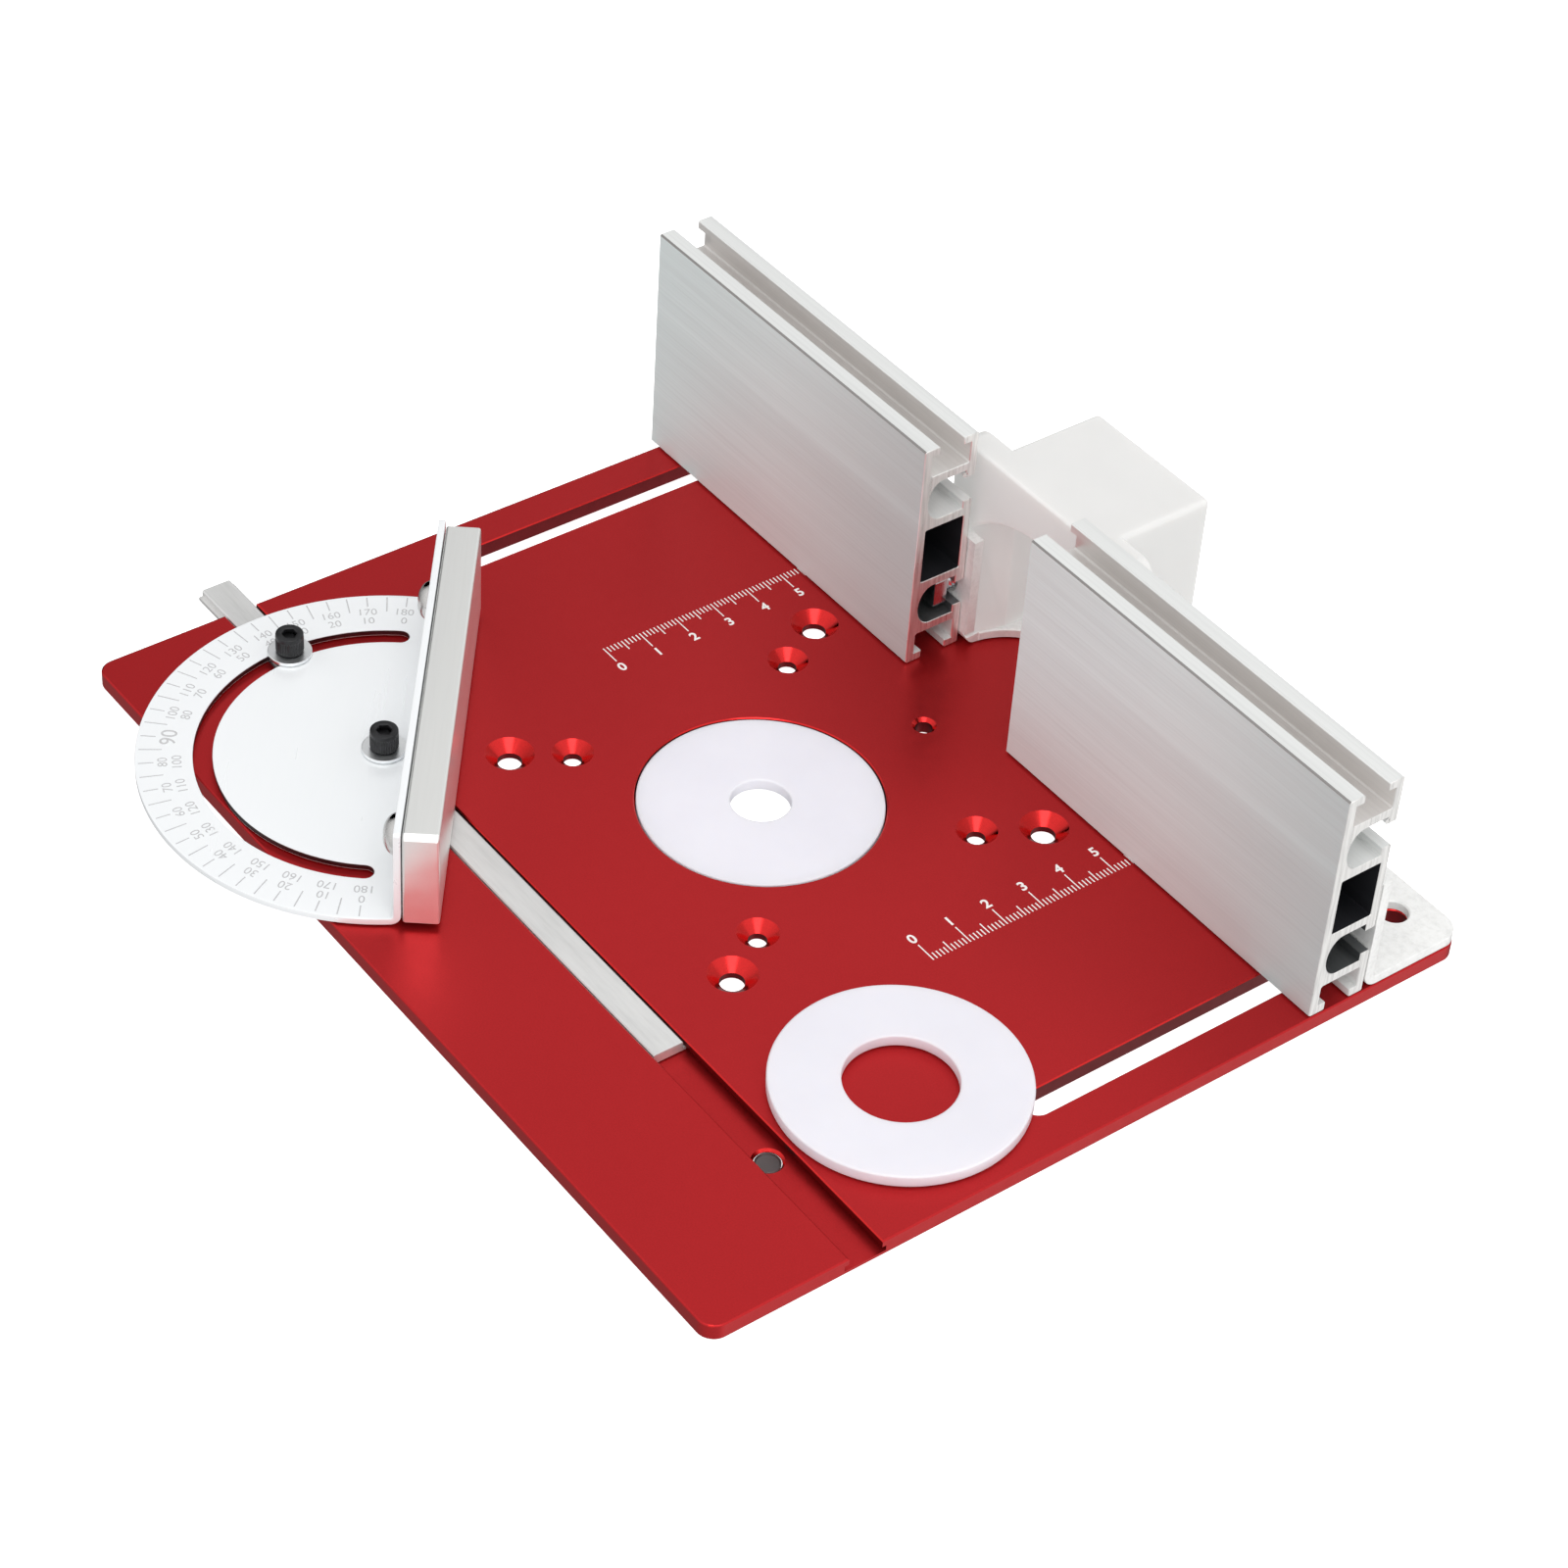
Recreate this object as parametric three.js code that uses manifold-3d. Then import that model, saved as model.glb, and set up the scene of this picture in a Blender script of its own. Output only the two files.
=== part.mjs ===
// Small router table: an aluminium insert plate with two fence slots and a miter slot, a two-part
// extruded fence on an angle bracket, a dust hood, two bit rings and a miter gauge.
// Millimetres. X runs along the miter slot, Y from the front edge to the fence, Z up. The pieces are
// laid out about the bit's axis on the plate's underside, and at the end the whole assembly is moved
// so that its origin is the middle of the foot of its box.
import * as THREE from 'three';
import { ConvexGeometry } from 'three/addons/geometries/ConvexGeometry.js';
import { mergeVertices } from 'three/addons/utils/BufferGeometryUtils.js';
import Module from 'manifold-3d';

const wasm = await Module();
wasm.setup();

// ---------------------------------------------------------------- driving dimensions

const GAP = 0.2; // between pieces that touch
const TURNED_GAP = 0.3; // and between those that touch on a slanted face
const PAST = 1; // how far a cutter runs past the face that it cuts
const FULL_TURN = Math.PI * 2;

const plate = {
  length: 235,
  width: 197,
  thickness: 4,
  cornerRadius: 4,
  edgeChamfer: 0.4,
};
const TOP = plate.thickness; // the working surface

const ring = {
  radius: 27.3,
  thickness: 3,
  seatRadius: 27.65,
  seatClearance: 0.15,
  ledgeRadius: 24,
  boreRadius: 6.7,
  spareBoreRadius: 12.1,
  spareCentre: [86.55, -28.6],
};

const fenceSlot = { x: 104.9, width: 6.6, frontY: -11, backY: 94 };

const miterSlot = {
  y: -60.9,
  width: 8.2,
  undercutWidth: 10.2,
  depth: 3,
  lipThickness: 1.6,
  plugX: 85.5,
  plugRadius: 2.8,
  plugThickness: 0.5,
  plugHoleRadius: 2.95,
  plugHoleMouthRadius: 3.5,
};

// Countersunk holes for the router's base: two rectangles of four about one centre.
const baseHoles = [
  { centre: [-0.9, 4.7], halfX: 41.7, halfY: 41.95, radius: 2.75, headRadius: 5.5 },
  { centre: [-0.9, 4.1], halfX: 34.5, halfY: 29.5, radius: 2.1, headRadius: 4.65 },
];
const starterPinHole = { x: -0.5, y: 45.7, radius: 2, headRadius: 2.8 };

const fence = {
  frontY: 55.2,
  height: 59.5,
  depth: 15,
  length: 100.4,
  leftInnerX: -19.6,
  rightInnerX: 16.8,
  frontWall: 2.2,
  backWall: 2,
  edgeChamfer: 0.6,
  lipThickness: 2.1,
  mouthFront: 4.3, // the end T-slots' mouth, from the front face
  mouthBack: 11,
  endSlotDepth: 7.6,
  backSlotCentre: 15, // height of the lower back slot above the profile's foot
  backSlotHalfHeight: 5.2,
  backMouthHalfHeight: 3.25,
  backLip: 2.6,
  backSlotRound: 3.7,
  chamberHalfHeight: 7.3,
  markHoleRadius: 0.5,
};
const FENCE_FOOT = TOP + GAP;
const FENCE_BACK = fence.frontY + fence.depth;

const bracket = {
  halfLength: 117.4,
  thickness: 2.5,
  wallHeight: 29.7,
  backY: 99,
  gapRadius: 17.2,
  gapCentreY: 71.2,
  cornerRadius: 5,
  clampHoleRadius: 3.3,
  clampHoleY: 90.4,
};
const BRACKET_FRONT = FENCE_BACK + GAP;
const BRACKET_WALL_BACK = BRACKET_FRONT + bracket.thickness;
const BRACKET_FLANGE_TOP = TOP + GAP + bracket.thickness;

const hood = {
  flangeHalfWidth: 30,
  flangeDepth: 6.9,
  boxHalfWidth: 19.2,
  backY: 105.2,
  topZ: TOP + 51.5,
  wall: 3.7,
  cornerRadius: 4,
  throatRadius: 31, // the flat arc over the intake
  throatTopZ: TOP + 39.8,
  throatHalfWidth: 22.5,
  throatDrop: 1.5, // from the intake's front to its back
  footHalfWidth: 17.4,
  portRadius: 14,
  portZ: TOP + 24,
};
const HOOD_FRONT = BRACKET_WALL_BACK + GAP;

const trackBolt = {
  xs: { outer: 100, inner: 25.4 },
  shankRadius: 2.9,
  headSide: 7.8,
  headThickness: 3.8,
  headBackY: FENCE_BACK - fence.backLip - 0.3,
  washerRadius: 5.6,
  washerThickness: 1.2,
  nutAcrossFlats: 10,
  nutThickness: 5,
  holeRadius: 3.3,
  threadClearance: 0.1,
  endPastNut: 1.5,
};

const miter = {
  pivotX: -56.5,
  turn: THREE.MathUtils.degToRad(52), // from square to the slot
  barMinX: -128.5,
  barLength: 179.7,
  barTopWidth: 7.4,
  barFlangeWidth: 9.2,
  barFlangeThickness: 1,
  barHeight: 2.6,
  barChamfer: 0.3,
  plateRadius: 54.1,
  plateThickness: 1.6,
  slotRadius: 39.4,
  slotWidth: 4.25,
  slotHalfAngle: THREE.MathUtils.degToRad(89.5),
  bendInner: 1,
  flangeX: 7.2,
  flangeHalfLength: 53.4,
  flangeTopZ: TOP + 25.4,
  faceHalfLength: 52.8,
  faceShift: -1.1, // the fence bar's middle, along the flange from the pivot
  faceThickness: 7.8,
  faceBottomZ: TOP + 1.3,
  faceTopZ: TOP + 25.6,
  faceCornerRadius: 0.8,
  faceChamfer: 0.5,
};
const MITER_PLATE_BOTTOM = TOP + 0.4;
const MITER_PLATE_TOP = MITER_PLATE_BOTTOM + miter.plateThickness;
const MITER_BAR_BOTTOM = TOP - miterSlot.depth + GAP;

const capScrew = {
  shankRadius: 1.9,
  holeRadius: 2.1,
  headRadius: 3.2,
  headHeight: 4.8,
  edge: 0.4,
  socketAcrossFlats: 3,
  socketDepth: 2.4,
  washerRadius: 5,
  washerThickness: 0.8,
};

const faceScrew = {
  y: 39.1, // either side of the fence bar's middle
  z: TOP + 13.9,
  shankRadius: 2.5,
  holeRadius: 2.7,
  headRadius: 4.8,
  headHeight: 2.6,
  depth: 6,
  socketAcrossFlats: 3,
  socketDepth: 1.5,
};

const FINE = 64; // segments round a large circle
const MEDIUM = 24; // and round a small one

// ---------------------------------------------------------------- solids

/** A manifold solid from a closed three.js geometry. */
function solid(geometry) {
  const bare = new THREE.BufferGeometry();
  const flat = geometry.index ? geometry.toNonIndexed() : geometry;
  bare.setAttribute('position', flat.getAttribute('position'));
  const merged = mergeVertices(bare, 1e-5);
  const corners = merged.index.array;
  const kept = [];
  for (let i = 0; i < corners.length; i += 3) {
    const [a, b, c] = [corners[i], corners[i + 1], corners[i + 2]];
    if (a !== b && b !== c && c !== a) kept.push(a, b, c);
  }
  const mesh = new wasm.Mesh({
    numProp: 3,
    vertProperties: merged.getAttribute('position').array,
    triVerts: Uint32Array.from(kept),
  });
  return new wasm.Manifold(mesh);
}

/** The three.js geometry of a manifold solid. */
function geometryOf(body) {
  const mesh = body.getMesh();
  const geometry = new THREE.BufferGeometry();
  geometry.setAttribute('position', new THREE.BufferAttribute(mesh.vertProperties, 3));
  geometry.setIndex(new THREE.BufferAttribute(mesh.triVerts, 1));
  geometry.computeVertexNormals();
  return geometry;
}

function join(bodies) {
  return bodies.reduce((all, body) => all.add(body));
}

function cut(body, cutters) {
  return body.subtract(join(cutters));
}

/** A shape in X and Y, extruded from minZ to maxZ; a chamfer takes both rims. */
function extrudeUp(shape, minZ, maxZ, chamfer = 0, segments = 12) {
  const geometry = new THREE.ExtrudeGeometry(shape, {
    depth: maxZ - minZ - 2 * chamfer,
    curveSegments: segments,
    bevelEnabled: chamfer > 0,
    bevelThickness: chamfer,
    bevelSize: chamfer,
    bevelOffset: -chamfer,
    bevelSegments: 1,
  });
  return solid(geometry.translate(0, 0, minZ + chamfer));
}

/** A shape in Y and Z, extruded from minX to maxX. */
function extrudeAlongX(shape, minX, maxX, segments = 12) {
  const geometry = new THREE.ExtrudeGeometry(shape, {
    depth: maxX - minX,
    curveSegments: segments,
    bevelEnabled: false,
  });
  const turn = new THREE.Matrix4().makeBasis(
    new THREE.Vector3(0, 1, 0),
    new THREE.Vector3(0, 0, 1),
    new THREE.Vector3(1, 0, 0),
  );
  return solid(geometry.applyMatrix4(turn).translate(minX, 0, 0));
}

/** A shape in X and Z, extruded from minY to maxY. */
function extrudeAlongY(shape, minY, maxY, segments = 12) {
  const geometry = new THREE.ExtrudeGeometry(shape, {
    depth: maxY - minY,
    curveSegments: segments,
    bevelEnabled: false,
  });
  return solid(geometry.rotateX(Math.PI / 2).translate(0, maxY, 0));
}

/** A round post, or a cone where its two radii differ, standing on minZ. */
function post(x, y, minZ, maxZ, bottomRadius, topRadius = bottomRadius, segments = MEDIUM) {
  const height = maxZ - minZ;
  const geometry = new THREE.CylinderGeometry(topRadius, bottomRadius, height, segments);
  return solid(geometry.rotateX(Math.PI / 2).translate(x, y, minZ + height / 2));
}

/** A round post that lies along Y. */
function postAlongY(x, z, minY, maxY, radius, segments = MEDIUM) {
  const length = maxY - minY;
  const geometry = new THREE.CylinderGeometry(radius, radius, length, segments);
  return solid(geometry.translate(x, minY + length / 2, z));
}

/** A round post that lies along X. */
function postAlongX(y, z, minX, maxX, radius, segments = MEDIUM) {
  const length = maxX - minX;
  const geometry = new THREE.CylinderGeometry(radius, radius, length, segments);
  return solid(geometry.rotateZ(-Math.PI / 2).translate(minX + length / 2, y, z));
}

function block(min, max) {
  const size = max.map((value, i) => value - min[i]);
  const middle = max.map((value, i) => (value + min[i]) / 2);
  return solid(new THREE.BoxGeometry(...size).translate(...middle));
}

// ---------------------------------------------------------------- outlines

function roundedRectangle(minX, minY, maxX, maxY, radius) {
  const shape = new THREE.Shape();
  shape.absarc(maxX - radius, minY + radius, radius, -Math.PI / 2, 0);
  shape.absarc(maxX - radius, maxY - radius, radius, 0, Math.PI / 2);
  shape.absarc(minX + radius, maxY - radius, radius, Math.PI / 2, Math.PI);
  shape.absarc(minX + radius, minY + radius, radius, Math.PI, Math.PI * 1.5);
  shape.closePath();
  return shape;
}

function polygon(points) {
  return new THREE.Shape(points.map(([x, y]) => new THREE.Vector2(x, y)));
}

function hexagon(acrossFlats) {
  const radius = acrossFlats / Math.sqrt(3);
  const corners = [0, 1, 2, 3, 4, 5].map((i) => (i * FULL_TURN) / 6);
  return polygon(corners.map((angle) => [radius * Math.cos(angle), radius * Math.sin(angle)]));
}

/** Points on an ellipse, from one angle to another. */
function ellipsePoints(x, y, radiusX, radiusY, from, to, steps) {
  const angles = Array.from({ length: steps + 1 }, (_, i) => from + ((to - from) * i) / steps);
  return angles.map((angle) => [x + radiusX * Math.cos(angle), y + radiusY * Math.sin(angle)]);
}

// ---------------------------------------------------------------- plate

/** A countersink and its through hole, as one cutter. */
function countersinkCutter(x, y, radius, headRadius, topZ) {
  const coneDepth = headRadius - radius;
  const through = post(x, y, -PAST, topZ + PAST, radius);
  const cone = post(x, y, topZ - coneDepth, topZ + PAST, radius, headRadius + PAST);
  return through.add(cone);
}

function baseHoleCutters() {
  const cutters = [];
  for (const hole of baseHoles) {
    for (const signX of [-1, 1]) {
      for (const signY of [-1, 1]) {
        const x = hole.centre[0] + signX * hole.halfX;
        const y = hole.centre[1] + signY * hole.halfY;
        cutters.push(countersinkCutter(x, y, hole.radius, hole.headRadius, TOP));
      }
    }
  }
  return cutters;
}

function ringSeatCutters() {
  const seatZ = TOP - ring.thickness - ring.seatClearance;
  return [
    post(0, 0, -PAST, TOP + PAST, ring.ledgeRadius, ring.ledgeRadius, FINE),
    post(0, 0, seatZ, TOP + PAST, ring.seatRadius, ring.seatRadius, FINE),
  ];
}

function fenceSlotCutter(x) {
  const half = fenceSlot.width / 2;
  const outline = roundedRectangle(x - half, fenceSlot.frontY, x + half, fenceSlot.backY, half);
  return extrudeUp(outline, -PAST, TOP + PAST);
}

function miterSlotCutters() {
  const end = plate.length / 2 + PAST;
  const floorZ = TOP - miterSlot.depth;
  const half = miterSlot.width / 2;
  const undercut = miterSlot.undercutWidth / 2;
  const { y, plugX } = miterSlot;
  return [
    block([-end, y - half, floorZ], [end, y + half, TOP + PAST]),
    block([-end, y - undercut, floorZ], [end, y + undercut, TOP - miterSlot.lipThickness]),
    countersinkCutter(plugX, y, miterSlot.plugHoleRadius, miterSlot.plugHoleMouthRadius, floorZ),
  ];
}

function basePlate() {
  const halfX = plate.length / 2;
  const halfY = plate.width / 2;
  const outline = roundedRectangle(-halfX, -halfY, halfX, halfY, plate.cornerRadius);
  const body = extrudeUp(outline, 0, TOP, plate.edgeChamfer, 8);
  const pin = starterPinHole;
  return cut(body, [
    ...ringSeatCutters(),
    ...miterSlotCutters(),
    ...baseHoleCutters(),
    fenceSlotCutter(-fenceSlot.x),
    fenceSlotCutter(fenceSlot.x),
    countersinkCutter(pin.x, pin.y, pin.radius, pin.headRadius, TOP),
  ]);
}

function slotPlug() {
  return post(miterSlot.plugX, miterSlot.y, 0, miterSlot.plugThickness, miterSlot.plugRadius);
}

/** A flat bit ring about its own centre, standing on minZ. */
function bitRing(boreRadius, minZ) {
  const outer = post(0, 0, minZ, minZ + ring.thickness, ring.radius, ring.radius, FINE);
  const bore = post(0, 0, minZ - PAST, minZ + ring.thickness + PAST, boreRadius, boreRadius, 36);
  return cut(outer, [bore]);
}

// ---------------------------------------------------------------- fence

/** Half of the profile's outline, from its foot up its back to mid height. */
function lowerFenceOutline() {
  const f = fence;
  const backInside = f.depth - f.backWall;
  const lipInside = f.depth - f.backLip;
  const bottom = f.backSlotCentre - f.backSlotHalfHeight;
  const top = f.backSlotCentre + f.backSlotHalfHeight;
  const roundCentre = f.frontWall + f.backSlotRound;
  const nose = ellipsePoints(
    roundCentre, f.backSlotCentre, f.backSlotRound, f.backSlotHalfHeight,
    -Math.PI / 2, -Math.PI * 1.5, 10,
  );
  return [
    [f.edgeChamfer, 0],
    [f.mouthFront, 0],
    [f.mouthFront, f.lipThickness],
    [f.frontWall, f.lipThickness],
    [f.frontWall, f.endSlotDepth],
    [backInside, f.endSlotDepth],
    [backInside, f.lipThickness],
    [f.mouthBack, f.lipThickness],
    [f.mouthBack, 0],
    [f.depth, 0],
    [f.depth, f.backSlotCentre - f.backMouthHalfHeight],
    [lipInside, f.backSlotCentre - f.backMouthHalfHeight],
    [lipInside, bottom],
    ...nose,
    [lipInside, top],
    [lipInside, f.backSlotCentre + f.backMouthHalfHeight],
    [f.depth, f.backSlotCentre + f.backMouthHalfHeight],
  ];
}

function fenceSection() {
  const place = ([u, w]) => [fence.frontY + u, FENCE_FOOT + w];
  const lower = lowerFenceOutline();
  const upper = lower.map(([u, w]) => [u, fence.height - w]).reverse();
  const face = [
    [0, fence.height - fence.edgeChamfer],
    [0, fence.edgeChamfer],
  ];
  const shape = polygon([...lower, ...upper, ...face].map(place));
  const middle = fence.height / 2;
  const chamber = [
    [fence.frontWall, middle - fence.chamberHalfHeight],
    [fence.depth - fence.backWall, middle - fence.chamberHalfHeight],
    [fence.depth - fence.backWall, middle + fence.chamberHalfHeight],
    [fence.frontWall, middle + fence.chamberHalfHeight],
  ];
  shape.holes.push(polygon(chamber.map(place)));
  return shape;
}

function fenceProfile(minX) {
  const body = extrudeAlongX(fenceSection(), minX, minX + fence.length);
  const markY = FENCE_BACK - 2.8;
  const markZ = FENCE_FOOT + fence.height - fence.endSlotDepth - 3.2;
  const mark = postAlongX(
    markY, markZ, minX - PAST, minX + fence.length + PAST, fence.markHoleRadius, 8,
  );
  return cut(body, [mark]);
}

const TRACK_BOLT_Z = FENCE_FOOT + fence.backSlotCentre;

function fenceBracket() {
  const b = bracket;
  const foot = TOP + GAP;
  const wall = block(
    [-b.halfLength, BRACKET_FRONT, foot],
    [b.halfLength, BRACKET_WALL_BACK, foot + b.wallHeight],
  );
  const outline = roundedRectangle(
    -b.halfLength, BRACKET_FRONT - b.cornerRadius, b.halfLength, b.backY, b.cornerRadius,
  );
  const flange = extrudeUp(outline, foot, BRACKET_FLANGE_TOP, 0, 8);
  const front = block(
    [-b.halfLength - PAST, BRACKET_FRONT - b.cornerRadius - PAST, foot - PAST],
    [b.halfLength + PAST, BRACKET_FRONT, BRACKET_FLANGE_TOP + PAST],
  );
  const gap = block(
    [-b.gapRadius, BRACKET_FRONT - PAST, foot - PAST],
    [b.gapRadius, BRACKET_WALL_BACK + 0.01, foot + b.wallHeight + PAST],
  );
  const arc = post(0, b.gapCentreY, foot - PAST, BRACKET_FLANGE_TOP + PAST,
    b.gapRadius, b.gapRadius, FINE);
  const holes = [-1, 1].flatMap((side) => [
    post(side * fenceSlot.x, b.clampHoleY, foot - PAST, BRACKET_FLANGE_TOP + PAST, b.clampHoleRadius),
    ...Object.values(trackBolt.xs).map((x) => postAlongY(
      side * x, TRACK_BOLT_Z, BRACKET_FRONT - PAST, BRACKET_WALL_BACK + PAST, trackBolt.holeRadius,
    )),
  ]);
  return cut(wall.add(flange.subtract(front)), [gap, arc, ...holes]);
}

// ---------------------------------------------------------------- dust hood

/** The intake's outline in X and Z: straight legs, shoulders and a flat arc over them. */
function throatOutline(legHalfWidth, shoulderHalfWidth, topZ, radius, footZ) {
  const centreZ = topZ - radius;
  const edge = Math.asin(shoulderHalfWidth / radius);
  const arc = ellipsePoints(
    0, centreZ, radius, radius, Math.PI / 2 - edge, Math.PI / 2 + edge, 16,
  );
  return [[-legHalfWidth, footZ], [legHalfWidth, footZ], ...arc];
}

/** The intake narrows from the flange's front face to the box behind it. */
function throatCutter() {
  const footZ = BRACKET_FLANGE_TOP - PAST;
  const inside = hood.boxHalfWidth - hood.wall;
  const front = throatOutline(
    hood.footHalfWidth, hood.throatHalfWidth, hood.throatTopZ, hood.throatRadius, footZ,
  );
  const backTopZ = hood.throatTopZ - hood.throatDrop;
  const back = throatOutline(inside, inside, backTopZ, hood.throatRadius, footZ);
  const rearY = HOOD_FRONT + hood.flangeDepth + PAST;
  const points = [
    ...front.map(([x, z]) => new THREE.Vector3(x, HOOD_FRONT - 0.01, z)),
    ...back.map(([x, z]) => new THREE.Vector3(x, rearY, z)),
  ];
  return solid(new ConvexGeometry(points));
}

function hoodBody() {
  const h = hood;
  const footZ = BRACKET_FLANGE_TOP + GAP;
  const flangeBackY = HOOD_FRONT + h.flangeDepth;
  const face = roundedRectangle(
    -h.flangeHalfWidth, footZ, h.flangeHalfWidth, h.topZ, h.cornerRadius,
  );
  const flange = extrudeAlongY(face, HOOD_FRONT, flangeBackY, 6);
  const box = block(
    [-h.boxHalfWidth, flangeBackY - PAST, footZ],
    [h.boxHalfWidth, h.backY, h.topZ],
  );
  const inside = h.boxHalfWidth - h.wall;
  const chamber = block(
    [-inside, flangeBackY, footZ - PAST],
    [inside, h.backY - h.wall, h.throatTopZ],
  );
  const boltHoles = [-1, 1].map((side) => postAlongY(
    side * trackBolt.xs.inner, TRACK_BOLT_Z, HOOD_FRONT - PAST, flangeBackY + PAST,
    trackBolt.holeRadius,
  ));
  const port = postAlongY(0, h.portZ, h.backY - h.wall - PAST, h.backY + PAST, h.portRadius, 48);
  return cut(flange.add(box), [throatCutter(), chamber, port, ...boltHoles]);
}

// ---------------------------------------------------------------- track bolts

function trackBoltBody(x, nutBackY) {
  const b = trackBolt;
  const half = b.headSide / 2;
  const head = roundedRectangle(x - half, TRACK_BOLT_Z - half, x + half, TRACK_BOLT_Z + half, 1);
  const endY = nutBackY + b.endPastNut;
  return extrudeAlongY(head, b.headBackY - b.headThickness, b.headBackY, 3)
    .add(postAlongY(x, TRACK_BOLT_Z, b.headBackY - 0.5, endY, b.shankRadius));
}

function trackWasher(x, minY) {
  const b = trackBolt;
  const outer = postAlongY(x, TRACK_BOLT_Z, minY, minY + b.washerThickness, b.washerRadius);
  const hole = postAlongY(
    x, TRACK_BOLT_Z, minY - PAST, minY + b.washerThickness + PAST, b.holeRadius,
  );
  return cut(outer, [hole]);
}

function trackNut(x, minY) {
  const b = trackBolt;
  const hexagonAlongY = extrudeAlongY(hexagon(b.nutAcrossFlats), minY, minY + b.nutThickness)
    .translate([x, 0, TRACK_BOLT_Z]);
  const bore = postAlongY(
    x, TRACK_BOLT_Z, minY - PAST, minY + b.nutThickness + PAST, b.shankRadius + b.threadClearance,
  );
  return cut(hexagonAlongY, [bore]);
}

// ---------------------------------------------------------------- miter gauge

function miterBar() {
  const m = miter;
  const top = MITER_BAR_BOTTOM + m.barHeight;
  const step = MITER_BAR_BOTTOM + m.barFlangeThickness;
  const halfTop = m.barTopWidth / 2;
  const halfFlange = m.barFlangeWidth / 2;
  const half = [
    [halfFlange, MITER_BAR_BOTTOM],
    [halfFlange, step],
    [halfTop, step],
    [halfTop, top - m.barChamfer],
    [halfTop - m.barChamfer, top],
  ];
  const mirrored = half.map(([y, z]) => [-y, z]).reverse();
  const section = polygon([...half, ...mirrored].map(([y, z]) => [y + miterSlot.y, z]));
  const body = extrudeAlongX(section, m.barMinX, m.barMinX + m.barLength);
  const holes = [m.pivotX, m.pivotX - m.slotRadius].map((x) => post(
    x, miterSlot.y, MITER_BAR_BOTTOM - PAST, top + PAST, capScrew.holeRadius, capScrew.holeRadius, 24,
  ));
  return cut(body, holes);
}

/** Where one of the two face screws sits along the flange, from the pivot. */
function faceScrewY(side) {
  return miter.faceShift + side * faceScrew.y;
}

/** The curved slot about the pivot, open towards the protractor's round side. */
function angleSlotOutline() {
  const outer = miter.slotRadius + miter.slotWidth / 2;
  const inner = miter.slotRadius - miter.slotWidth / 2;
  const from = Math.PI - miter.slotHalfAngle;
  const to = Math.PI + miter.slotHalfAngle;
  const endCentre = (angle) => [
    miter.slotRadius * Math.cos(angle),
    miter.slotRadius * Math.sin(angle),
  ];
  const end = miter.slotWidth / 2;
  return polygon([
    ...ellipsePoints(0, 0, outer, outer, from, to, 44),
    ...ellipsePoints(...endCentre(to), end, end, to, to + Math.PI, 8).slice(1, -1),
    ...ellipsePoints(0, 0, inner, inner, to, from, 44),
    ...ellipsePoints(...endCentre(from), end, end, from + Math.PI, from + FULL_TURN, 8).slice(1, -1),
  ]);
}

/** The protractor and its upturned flange, about the pivot, square to the slot. */
function protractor() {
  const m = miter;
  const bendOuter = m.bendInner + m.plateThickness;
  const flangeOuterX = m.flangeX + m.plateThickness;
  const bendX = flangeOuterX - bendOuter;
  const edge = Math.acos(bendX / m.plateRadius);
  const outline = polygon(
    ellipsePoints(0, 0, m.plateRadius, m.plateRadius, edge, FULL_TURN - edge, 56),
  );
  const flat = extrudeUp(outline, MITER_PLATE_BOTTOM, MITER_PLATE_TOP);
  const bendZ = MITER_PLATE_BOTTOM + bendOuter;
  const bent = polygon([
    [bendX - 0.5, MITER_PLATE_BOTTOM],
    ...ellipsePoints(bendX, bendZ, bendOuter, bendOuter, -Math.PI / 2, 0, 6),
    [flangeOuterX, m.flangeTopZ],
    [m.flangeX, m.flangeTopZ],
    ...ellipsePoints(bendX, bendZ, m.bendInner, m.bendInner, 0, -Math.PI / 2, 4),
    [bendX - 0.5, MITER_PLATE_TOP],
  ]);
  const flange = extrudeAlongY(bent, -m.flangeHalfLength, m.flangeHalfLength);
  const through = (outlineToCut) => extrudeUp(
    outlineToCut, MITER_PLATE_BOTTOM - PAST, MITER_PLATE_TOP + PAST,
  );
  const pivotHole = post(
    0, 0, MITER_PLATE_BOTTOM - PAST, MITER_PLATE_TOP + PAST, capScrew.holeRadius,
  );
  const faceHoles = [-1, 1].map((side) => postAlongX(
    faceScrewY(side), faceScrew.z, m.flangeX - PAST, flangeOuterX + PAST, faceScrew.holeRadius,
  ));
  return cut(flat.add(flange), [through(angleSlotOutline()), pivotHole, ...faceHoles]);
}

function miterFace() {
  const m = miter;
  const minX = m.flangeX + m.plateThickness + TURNED_GAP;
  const section = roundedRectangle(
    minX, m.faceShift - m.faceHalfLength,
    minX + m.faceThickness, m.faceShift + m.faceHalfLength, m.faceCornerRadius,
  );
  const body = extrudeUp(section, m.faceBottomZ, m.faceTopZ, m.faceChamfer, 2);
  const holes = [-1, 1].map((side) => postAlongX(
    faceScrewY(side), faceScrew.z, minX - PAST, minX + faceScrew.depth, faceScrew.holeRadius,
  ));
  return cut(body, holes);
}

function socketCutter(acrossFlats, topZ, depth) {
  return extrudeUp(hexagon(acrossFlats), topZ - depth, topZ + PAST);
}

/** A black socket-head screw about its own axis, its head standing on headZ. */
function capScrewBody(headZ, endZ) {
  const s = capScrew;
  const top = headZ + s.headHeight;
  const head = post(0, 0, headZ, top - s.edge, s.headRadius);
  const edge = post(0, 0, top - s.edge, top, s.headRadius, s.headRadius - s.edge);
  const shank = post(0, 0, endZ, headZ + 0.5, s.shankRadius);
  return cut(join([head, edge, shank]), [socketCutter(s.socketAcrossFlats, top, s.socketDepth)]);
}

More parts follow.
